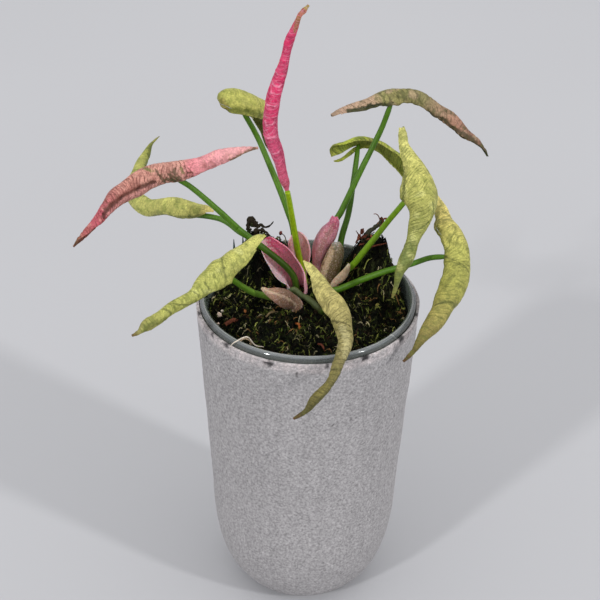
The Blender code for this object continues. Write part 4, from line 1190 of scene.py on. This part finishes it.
def paper_finish():
    paper = Finish("pale paper", 0.9, 0.1, FLOOR_COLOUR)
    paper.brighten(paper.noise(400.0, 1.0), 0.985, 1.015)
    return paper.finished()


# Leaves and sheaths


class Skin:
    """The relief and the colours of one blade, over a grid of places on it."""

    BENDS, BREAKS, DENTS, SPOTS, EDGES = (Noise(seed) for seed in (11, 12, 13, 14, 15))
    SEED_STEP = 7.3
    CREASE_WIDTH = 0.26
    VEIN_BEND = 0.8
    GRAIN = 0.07
    SPOT_EDGE = 0.35
    STROKE_EDGE = (1.25, 0.55)
    STROKE_RAGGED = 0.8
    PLEAT_MIDDLE = 0.6
    MARGIN_EDGE = (0.9, 1.0)
    LEAST_SPAN = 1e-6
    # Sizes of the features in millimetres, along the blade and across it
    BEND_SIZE, BREAK_SIZE, DENT_SIZE, GRAIN_SIZE, STROKE_SIZE = (6, 6), (4, 3), (8, 5), (1.5, 1.5), (1.1, 1.1)
    # By default inside is painted shade: dark green over the inner sheet
    DEFAULTS = dict(
        mottles=(), strokes=(), crease=(DARK_GREEN, 0.5), margin=(DARK_GREEN, 0.4), inside=(DARK_GREEN, 0.5),
        crease_depth=0.22, spacing=2.1, slant=0.5, pleat=0.05, dents=0.3, ragged=0.05, folded=[(0, 1)],
    )

    def __init__(self, blade, look, seed, along, across):
        self.look = {**self.DEFAULTS, **look}
        self.seed = seed * self.SEED_STEP
        self.u, self.across = along, across
        self.s, self.t = blade.spread(along, across)
        self.folded = np.interp(along, *zip(*self.look["folded"]))
        self.find_creases()
        self.strokes = [
            (self.stroke(*blade.spread(*start), *blade.spread(*end), width), colour, strength, depth)
            for places, width, colour, strength, depth in self.look["strokes"]
            for start, end in zip(places, places[1:])
        ]

    def noise(self, source, along, across, shift=0):
        return source.at(self.s / along, self.t / across, self.seed + shift)

    def find_creases(self):
        spacing = self.look["spacing"]
        bend = self.VEIN_BEND * self.noise(self.BENDS, *self.BEND_SIZE)
        self.vein = (self.s - self.look["slant"] * np.abs(self.t)) / spacing + bend
        off = np.abs(self.vein - np.round(self.vein)) * spacing
        whole = smooth_step(-0.05, 0.4, self.noise(self.BREAKS, *self.BREAK_SIZE))
        self.crease = np.exp(-((off / self.CREASE_WIDTH) ** 2)) * whole * self.folded

    def stroke(self, s0, t0, s1, t1, width):
        """How strongly each place is covered by a stroke from one place of the blade to another."""
        s, t = self.s - s0, self.t - t0
        way_s, way_t = s1 - s0, t1 - t0
        span = max(way_s**2 + way_t**2, self.LEAST_SPAN)
        share = np.clip((s * way_s + t * way_t) / span, 0, 1)
        far = np.hypot(s - way_s * share, t - way_t * share)
        ragged = 1 + self.STROKE_RAGGED * self.noise(self.EDGES, *self.STROKE_SIZE)
        return smooth_step(*self.STROKE_EDGE, far / (width / 2) * ragged)

    def lift(self):
        """Relief in millimetres: pleats between the veins, dents, a fine grain, creases and strokes."""
        lift = self.look["pleat"] * (np.abs(np.sin(math.pi * self.vein)) - self.PLEAT_MIDDLE)
        lift += self.look["dents"] * self.noise(self.DENTS, *self.DENT_SIZE)
        lift += self.GRAIN * self.noise(self.DENTS, *self.GRAIN_SIZE, 3)
        lift -= self.look["crease_depth"] * self.crease
        for cover, _, _, depth in self.strokes:
            lift -= depth * cover
        return lift

    def tint(self):
        tint = colours_along(self.look["run"], self.u)
        for colour, size, level, strength in self.look["mottles"]:
            spots = smooth_step(level, level + self.SPOT_EDGE, self.noise(self.SPOTS, size, size, size))
            tint = blend(tint, shade(colour), spots * strength)
        for cover, colour, strength, _ in self.strokes:
            tint = blend(tint, shade(colour), cover * strength)
        margin = smooth_step(*self.MARGIN_EDGE, np.abs(self.across))
        for key, cover in (("crease", self.crease), ("margin", margin)):
            colour, strength = self.look[key]
            tint = blend(tint, shade(colour), cover * strength)
        return tint

    def curl(self):
        """How far the blade rolls at each place, so that its margins run unevenly."""
        edges = self.EDGES.at(self.s / 3, self.across * 2, self.seed)
        return 1 + self.look["ragged"] * edges * np.abs(self.across) ** 3

    def places_of_folds(self):
        """Where the folds of the finish lie on both sheets, and how far each point is folded."""
        places = np.stack([self.vein, self.t / 2, np.full(self.u.shape, self.seed)], axis=-1).reshape(-1, 3)
        return np.concatenate([places, places]), np.concatenate([self.folded.ravel()] * 2)


THIN_END = 0.35
END_REACH = 0.04
WAVE_FADE = 6


def blade_piece(name, spec, look, seed, grid, inner_lift, finish, wave_height=0):
    """A closed fine blade with the model's outer face, creased and painted."""
    blade = Blade(**spec)
    along, across, quads = blade.grid(*grid)
    skin = Skin(blade, look, seed, along, across)
    fade = np.minimum(1, WAVE_FADE * along * (1 - along))
    wave = wave_height * np.sin(WAVES * math.tau * along + WAVE_SLANT * across) * fade
    ends = smooth_step(0, END_REACH, along) * smooth_step(1, 1 - END_REACH, along)
    lift = wave + skin.lift() * ends
    taper = THIN_END + (1 - THIN_END) * ends
    sheets = [
        blade.section(along, across, lift + thickness * taper, skin.curl()).reshape(-1, 3)
        for thickness in (BLADE_THICKNESS, inner_lift)
    ]
    points, faces = thickened(*sheets, quads)
    tint = skin.tint().reshape(-1, 3)
    # The inner sheet's tint is blended towards inside: painted shade, and painted light on two sheaths
    inside, share = skin.look["inside"]
    tints = np.concatenate([tint, blend(tint, shade(inside), share)])
    place_piece(FINE + name, points, faces, tints, finish, look["slot"], *skin.places_of_folds())


def build_leaves():
    finishes = {net: leaf_finish(net + " skin", colour) for net, colour in NETS.items()}
    for seed, (name, spec) in enumerate(LEAVES.items()):
        look = LEAF_LOOKS[name]
        finish = finishes[look.get("net", look["slot"])]
        blade_piece(name, spec, look, seed, LEAF_GRID, INNER_LIFT, finish, WAVE_HEIGHT)


def build_sheaths():
    finish = sheath_finish()
    for seed, (name, spec) in enumerate(SHEATHS.items(), 40):
        look = {**SHEATH_RELIEF, **SHEATH_LOOKS[name]}
        blade_piece(name, spec, look, seed, SHEATH_GRID, SHEATH_INNER_LIFT, finish)


# Petioles


def build_petioles():
    finish = stem_finish()
    wobble = Noise(31)
    u = np.linspace(0, 1, STEM_STEPS + 1)
    angle = np.arange(STEM_SIDES) * math.tau / STEM_SIDES
    around = 1 + RIB_RELIEF * np.cos(STEM_RIBS * angle) + STEM_OVAL * np.cos(angle + 1)
    for seed, (name, (root, *rest)) in enumerate(PETIOLES.items()):
        radius = PETIOLE_RADIUS[0] + (PETIOLE_RADIUS[1] - PETIOLE_RADIUS[0]) * u
        if name != UPRIGHT:
            rest.append(tuple(Blade(**LEAVES["leaf_" + name]).seat(np.array(rest[-1]), STEM_SEAT_RADIUS)))
            end = smooth_step(STEM_SEAT_START, 1, u)
            radius = radius * (1 - end) + STEM_SEAT_RADIUS * end
        route = Route([(*root, ROOT_HEIGHT), *rest], [TUBE_FACING])
        along = u[:, None] * route.length
        uneven = wobble.at(along / 6, np.cos(angle) * 0.8, np.sin(angle) * 0.8 + seed * 5)
        streaks = wobble.at(along / 25, np.cos(angle) * 2, np.sin(angle) * 2 + seed * 9)
        point, side, ridge = route.frame(u)
        radii = radius[:, None] * (around + STEM_UNEVEN * uneven)
        skin, faces = tube(point, radii, STEM_SIDES, side, ridge)
        tint = colours_along(STEM_RUNS.get(name, [(0, STEM_GREEN), (1, STEM_GREEN)]), u)
        tint = tint[:, None] * (1 + STEM_STREAKS * streaks[..., None])
        tints = np.concatenate([tint.reshape(-1, 3), tint[:1, 0], tint[-1:, 0]])
        place_piece(FINE + "petiole_" + name, skin, faces, tints, finish, "petiole")


# Pot


def axis_point(height):
    return np.array([[0.0, height]])


def outer_outline(bottom_rings, wall_rings):
    """Radius and height of the pot's face: the rounded bottom, then the straight wall."""
    angle = np.linspace(0, math.pi / 2, bottom_rings + 1)
    out, down = np.sin(angle) ** (2 / BOTTOM_POWER), np.cos(angle) ** (2 / BOTTOM_POWER)
    low = np.stack([BASE_RADIUS + (WAIST_RADIUS - BASE_RADIUS) * out, WAIST_HEIGHT * (1 - down)], axis=1)
    rise = np.linspace(0, 1, wall_rings + 1)[1:, None]
    return np.concatenate([low, low[-1] + (np.array([RIM_RADIUS, POT_HEIGHT - BARE_RIM]) - low[-1]) * rise])


def inset_outline(outline, depth):
    """The same outline moved inwards, square to itself."""
    before = np.vstack([outline[0] - [1, 0], outline[:-1]])
    after = np.vstack([outline[1:], outline[-1]])
    along = unit(after - before)
    moved = outline + depth * np.stack([-along[:, 1], along[:, 0]], axis=1)
    moved[0] = outline[0] + [0, depth]
    return moved


def build_coat():
    """The stone coat, with its grain, a paler band under its edge and chips."""
    outside = outer_outline(*COAT_RINGS)
    inside = inset_outline(outer_outline(*INSIDE_RINGS), COAT_THICKNESS)[::-1]
    outline = [axis_point(0), outside, inside, axis_point(COAT_THICKNESS)]
    points, faces = turned(np.concatenate(outline), POT_SIDES)
    shown = np.arange(len(points)) < len(outside) * POT_SIDES
    grains, lumps = Noise(51), Noise(52)
    relief = grains.over(points, *GRAINS) + lumps.over(points, *LUMPS) + lumps.over(points, *SWELLS)
    height = points[:, 2]
    start, full = POT_HEIGHT - BARE_RIM - np.array(BAND)
    band = smooth_step(start, full, height) * (0.5 + lumps.over(points, *BAND_SPOTS))
    tint = blend(shade(STONE), shade(STONE_BAND), np.clip(band, 0, 1))
    azimuth = np.degrees(np.arctan2(points[:, 1], points[:, 0]))
    for chip_azimuth, chip_height, half_width, half_height, colour in CHIPS:
        turn = (azimuth - chip_azimuth + 180) % 360 - 180
        near = np.hypot(np.radians(turn) * RIM_RADIUS / half_width, (height - chip_height) / half_height)
        chip = smooth_step(*CHIP_EDGE, near * (1 + grains.over(points, *CHIP_RAGGED)))
        relief -= CHIP_DEPTH * chip
        tint = blend(tint, shade(colour) * CHIP_SHADE, chip * CHIP_COVER)
    relief = relief * shown * smooth_step(0, SMOOTH_FOOT, height)
    outward = points * [1, 1, 0]
    reach = np.linalg.norm(outward, axis=1, keepdims=True)
    points = points + outward / np.maximum(reach, 1) * relief[:, None]
    place_piece(FINE + "pot_stone_coat", points, faces, tint, stone_finish(), "pot_stone")


def build_glass():
    """The glass with its rounded lip. Returns the outline that the soil fills."""
    depth = COAT_THICKNESS + GAP
    floor_height = depth + GLASS_THICKNESS
    face = outer_outline(*GLASS_RINGS)
    outside, inside = inset_outline(face, depth), inset_outline(face, floor_height)
    lip_radius = GLASS_THICKNESS / 2
    angle = np.linspace(0, math.pi, LIP_STEPS + 1)
    lip_middle = outside[-1, 0] - lip_radius
    lip_height = POT_HEIGHT - lip_radius * (1 - np.sin(angle))
    lip = np.stack([lip_middle + lip_radius * np.cos(angle), lip_height], axis=1)
    outline = [axis_point(depth), outside, lip, inside[-2::-1], axis_point(floor_height)]
    points, faces = turned(np.concatenate(outline), GLASS_SIDES)
    # The glass is tinted with painted shade, a painted highlight and a painted reflection round its lip, by
    # the angle about the lip's middle
    height = points[:, 2] - POT_HEIGHT + lip_radius
    around = np.degrees(np.arctan2(height, np.linalg.norm(points[:, :2], axis=1) - lip_middle))
    tint = colours_along(LIP_PAINTED_LIGHT, np.where(height < 0, np.where(around < -90, 180, 0), around))
    place_piece(FINE + "pot_glass", points, faces, tint, glass_finish(), "pot_glass")
    return inset_outline(face, floor_height + GAP)


# Soil and moss


class Soil:
    """The surface of the moss, as in the model, with finer tufts."""

    TUFTS = Noise(61)

    def __init__(self, inside):
        self.below = inside[inside[:, 1] < SOIL_EDGE]
        (r0, z0), (r1, z1) = self.below[-1], inside[-1]
        self.edge = r0 + (r1 - r0) * (SOIL_EDGE - z0) / (z1 - z0)
        self.grain = np.vectorize(lambda x, y: noise.noise(Vector((x / MOSS_GRAIN, y / MOSS_GRAIN, 0))))

    def height(self, x, y):
        far = np.hypot(x, y)
        fade = np.clip((self.edge - far) / HEAP_EDGE, 0, 1)
        height = SOIL_EDGE + SOIL_MOUND * (1 - (far / self.edge) ** 2)
        for heap_x, heap_y, heap_height, heap_radius in (*MOSS_HEAPS, LOOSE_TUFT):
            off = np.hypot(x - heap_x, y - heap_y) / heap_radius
            height = height + heap_height * np.exp(-(off**2)) * fade
        return height + MOSS_RELIEF * self.grain(x, y) * fade

    def fine_height(self, x, y):
        tufts = [height * self.TUFTS.at(x / size, y / size, layer) for height, size, layer in FINE_TUFTS]
        return self.height(x, y) + sum(tufts) - TUFT_SINK

    def clumps(self, x, y):
        """Where the moss is pale: 0 in its dark hollows and 1 in its bright patches."""
        return smooth_step(*CLUMP_LEVELS, self.TUFTS.at(x / CLUMP_SIZE, y / CLUMP_SIZE, CLUMP_LAYER))


def strand_colours(draw):
    colours, shares = zip(*MOSS_COLOURS)
    picked = shade(colours)[draw.choice(len(colours), STRANDS, p=np.array(shares) / sum(shares))]
    return picked * draw.uniform(*STRAND_SHADES, (STRANDS, 1))


def moss_strands(soil, draw):
    """Curly strands that lie over the moss and over each other: their points, radii and colours."""
    far = (soil.edge - STRAND_MARGIN) * np.sqrt(draw.random(STRANDS))
    turn = draw.random(STRANDS) * math.tau
    bends = draw.normal(0, STRAND_BEND, (STRANDS, STRAND_STEPS)).cumsum(axis=1)
    heading = draw.random((STRANDS, 1)) * math.tau + bends
    stride = draw.uniform(*STRAND_LENGTH, (STRANDS, 1)) / STRAND_STEPS
    x = (far * np.cos(turn))[:, None] + np.cumsum(np.cos(heading) * stride, axis=1)
    y = (far * np.sin(turn))[:, None] + np.cumsum(np.sin(heading) * stride, axis=1)
    beyond = np.maximum(np.hypot(x, y) / (soil.edge - END_MARGIN), 1)
    x, y = x / beyond, y / beyond
    share = np.linspace(0, 1, STRAND_STEPS)
    arch = np.sin(math.pi * share) * draw.uniform(*STRAND_ARCH, (STRANDS, 1))
    lean = share * draw.uniform(*STRAND_LEAN, (STRANDS, 1))
    points = np.stack([x, y, soil.fine_height(x, y) + arch + lean - STRAND_SINK], axis=-1)
    thick = 0.4 + 0.6 * np.sin(math.pi * (share * 0.8 + 0.1))
    radii = draw.uniform(*STRAND_RADIUS, (STRANDS, 1)) * thick
    shades = HOLLOW_SHADE + PATCH_SHADE * soil.clumps(x[:, :1], y[:, :1])
    return points, radii, strand_colours(draw) * shades


def strand_skins(points, radii):
    """Points and faces of all the strands at once, each with three sides."""
    tangent = unit(np.gradient(points, axis=1))
    side = unit(np.cross(tangent, [0.05, 0.03, 1.0]))
    ring = circle(side, np.cross(side, tangent), STRAND_SIDES)
    skin = (points[:, :, None] + ring * radii[:, :, None, None]).reshape(-1, 3)
    index = np.arange(len(skin)).reshape(*radii.shape, STRAND_SIDES)
    ends = [index[:, 0, [0, 1, 2, 2]], index[:, -1, [2, 2, 1, 0]]]
    return skin, np.concatenate([walls(index), *ends])


def leaflets(points, tints, draw):
    """Small pointed leaflets along the strands, each a slim closed wedge."""
    at = draw.integers(1, STRAND_STEPS - 1, (len(points), LEAFLETS))[..., None]
    foot, ahead = [np.take_along_axis(points, step, axis=1).reshape(-1, 3) for step in (at, at + 1)]
    way = unit(unit(ahead - foot) + draw.normal(0, LEAFLET_SPREAD, foot.shape) + LEAFLET_RISE * UP)
    flat = unit(np.cross(way, draw.normal(size=foot.shape)))
    half, thick = flat * LEAFLET_WIDTH / 2, np.cross(way, flat) * LEAFLET_THICKNESS
    reach = way * draw.uniform(*LEAFLET_LENGTH, (len(foot), 1))
    a, b, c, d = foot - half, foot + half, foot + thick + reach * 0.2, foot + reach
    inward = np.sum(np.cross(b - a, c - a) * (d - a), axis=1) > 0
    a[inward], b[inward] = b[inward].copy(), a[inward].copy()
    skin = np.stack([a, b, c, d], axis=1).reshape(-1, 3)
    start = np.arange(len(foot))[:, None] * 4
    wedge = [0, 1, 2, 2], [0, 3, 1, 1], [1, 3, 2, 2], [2, 3, 0, 0]
    faces = np.concatenate([start + face for face in wedge])
    tint = np.repeat(tints, LEAFLETS, axis=0) * draw.uniform(*LEAFLET_SHADES, (len(foot), 1))
    return skin, faces, np.repeat(tint, 4, axis=0)


def thread(points, thickness, colour, knots, seed):
    """A twig or a root, thicker and thinner along its way."""
    route = Route(points, [TUBE_FACING])
    u = np.linspace(0, 1, THREAD_STEPS + 1)
    lumps = Noise(seed).at(u[:, None] * route.length / KNOT_SIZE, np.arange(THREAD_SIDES) * KNOT_TURN)
    radius = np.interp(u, np.linspace(0, 1, len(thickness)), thickness)[:, None] / 2
    middle, side, ridge = route.frame(u)
    return *tube(middle, radius * (1 + knots * lumps), THREAD_SIDES, side, ridge), shade(colour)


def crumb(place, size, colour, seed):
    """A crumb or a flake: a round form made uneven by noise, and flattened to its size."""
    angle = np.linspace(0, math.pi, CRUMB_RINGS + 1)
    skin, faces = turned(np.stack([np.sin(angle), -np.cos(angle)], axis=1), CRUMB_SIDES)
    skin = skin * (1 + Noise(seed).over(skin, *CRUMB_LUMPS)[:, None])
    turn = np.array(Euler(seed * CRUMB_TURNS).to_matrix())
    return (skin * np.array(size) / 2) @ turn.T + place, faces, colour


def build_soil(soil):
    """The bed of moss and soil: dark, with patches and small pale cushions."""
    share = np.linspace(1, 0, SOIL_RINGS + 1)[:-1]
    top = np.stack([soil.edge * share, np.full(SOIL_RINGS, SOIL_EDGE)], axis=1)
    outline = np.concatenate([axis_point(soil.below[0, 1]), soil.below, top, axis_point(SOIL_EDGE)])
    points, faces = turned(outline, SOIL_SIDES)
    upper = points[:, 2] > SOIL_EDGE - 0.01
    points[upper, 2] = soil.fine_height(points[upper, 0], points[upper, 1])
    tint = blend(*shade(BED_COLOURS), smooth_step(*PATCH_LEVELS, soil.TUFTS.over(points, PATCH_SIZE)))
    cushions = smooth_step(*CUSHION_LEVELS, soil.TUFTS.over(points, CUSHION_SIZE))
    cover = CUSHION_COVER * cushions * soil.clumps(points[:, 0], points[:, 1])
    tint = blend(tint, shade(CUSHION_COLOUR), cover)
    place_piece(FINE + "soil_moss", points, faces, tint, moss_finish("moss bed", 0.85), "moss_soil")


def build_moss(soil):
    """The growth on the moss: strands, leaflets, crumbs, scraps and twigs."""
    damp, dry = moss_finish("moss strands", 0.7), moss_finish("dry scraps", 0.8)
    draw = np.random.default_rng(MOSS_SEED)
    paths, radii, tints = moss_strands(soil, draw)
    strand_tints = np.repeat(tints, STRAND_STEPS * STRAND_SIDES, axis=0)
    place_piece("moss_strands", *strand_skins(paths, radii), strand_tints, damp, "moss_soil")
    place_piece("moss_leaflets", *leaflets(paths, tints, draw), damp, "moss_soil")
    # Every third scrap has the same shade of red
    reds = [(place, size, shade(RED_BROWN) * (0.7 + k % 3)) for k, (place, size) in enumerate(SCRAPS)]
    scraps = [crumb(*red, seed) for seed, red in enumerate(reds, SCRAP_SEED)]
    plain = [(place, size, shade(colour)) for place, size, colour in CRUMBS]
    crumbs = [crumb(*one, seed) for seed, one in enumerate(plain, CRUMB_SEED)]
    place_piece("moss_crumbs", *gather(scraps + crumbs), dry, "moss_soil")
    threads = [thread(*spec, seed) for seed, spec in enumerate(THREADS, THREAD_SEED)]
    place_piece("moss_twigs", *gather(threads), dry, "moss_soil")


# Stage


def stand(name, data):
    """Adds an object to the scene."""
    made = bpy.data.objects.new(name, data)
    bpy.context.scene.collection.objects.link(made)
    return made


def build_floor():
    mesh = bpy.data.meshes.new("floor")
    corners = [(x * FLOOR_SIZE / 2, y * FLOOR_SIZE / 2, 0) for x, y in ((-1, -1), (1, -1), (1, 1), (-1, 1))]
    mesh.from_pydata(corners, [], [(0, 1, 2, 3)])
    mesh.materials.append(paper_finish())
    stand("floor", mesh)


def build_lights():
    world = bpy.data.worlds.new("studio")
    world.use_nodes = True
    backdrop = world.node_tree.nodes["Background"]
    backdrop.inputs["Color"].default_value = SKY_COLOUR
    backdrop.inputs["Strength"].default_value = SKY_LIGHT
    bpy.context.scene.world = world

    top = bpy.data.lights.new("top light", "AREA")
    top.size = TOP_SIZE
    top.energy = TOP_POWER
    stand("top light", top).location = TOP_PLACE
    for azimuth in KEY_AZIMUTHS:
        key = bpy.data.lights.new("key light", "SUN")
        key.energy = KEY_STRENGTH
        key.angle = KEY_SPREAD
        turn = (math.radians(90 - KEY_ELEVATION), 0, math.radians(azimuth + 90))
        stand("key light", key).rotation_euler = turn


def build_camera():
    lens = bpy.data.cameras.new("camera")
    lens.sensor_width = SENSOR
    lens.lens = FOCAL_PIXELS / FRAME_PIXELS * SENSOR
    camera = stand("camera", lens)
    tilt = Euler((math.pi / 2 - CAMERA_PITCH, 0, 0)).to_matrix().to_4x4()
    camera.matrix_world = Matrix.Translation(CAMERA_PLACE) @ tilt @ Matrix.Rotation(CAMERA_ROLL, 4, "Z")
    bpy.context.scene.camera = camera
    bpy.context.scene.view_settings.view_transform = "Standard"


build_floor()
build_lights()
build_camera()
build_leaves()
build_petioles()
build_sheaths()
build_coat()
moss_bed = Soil(build_glass())
build_soil(moss_bed)
build_moss(moss_bed)
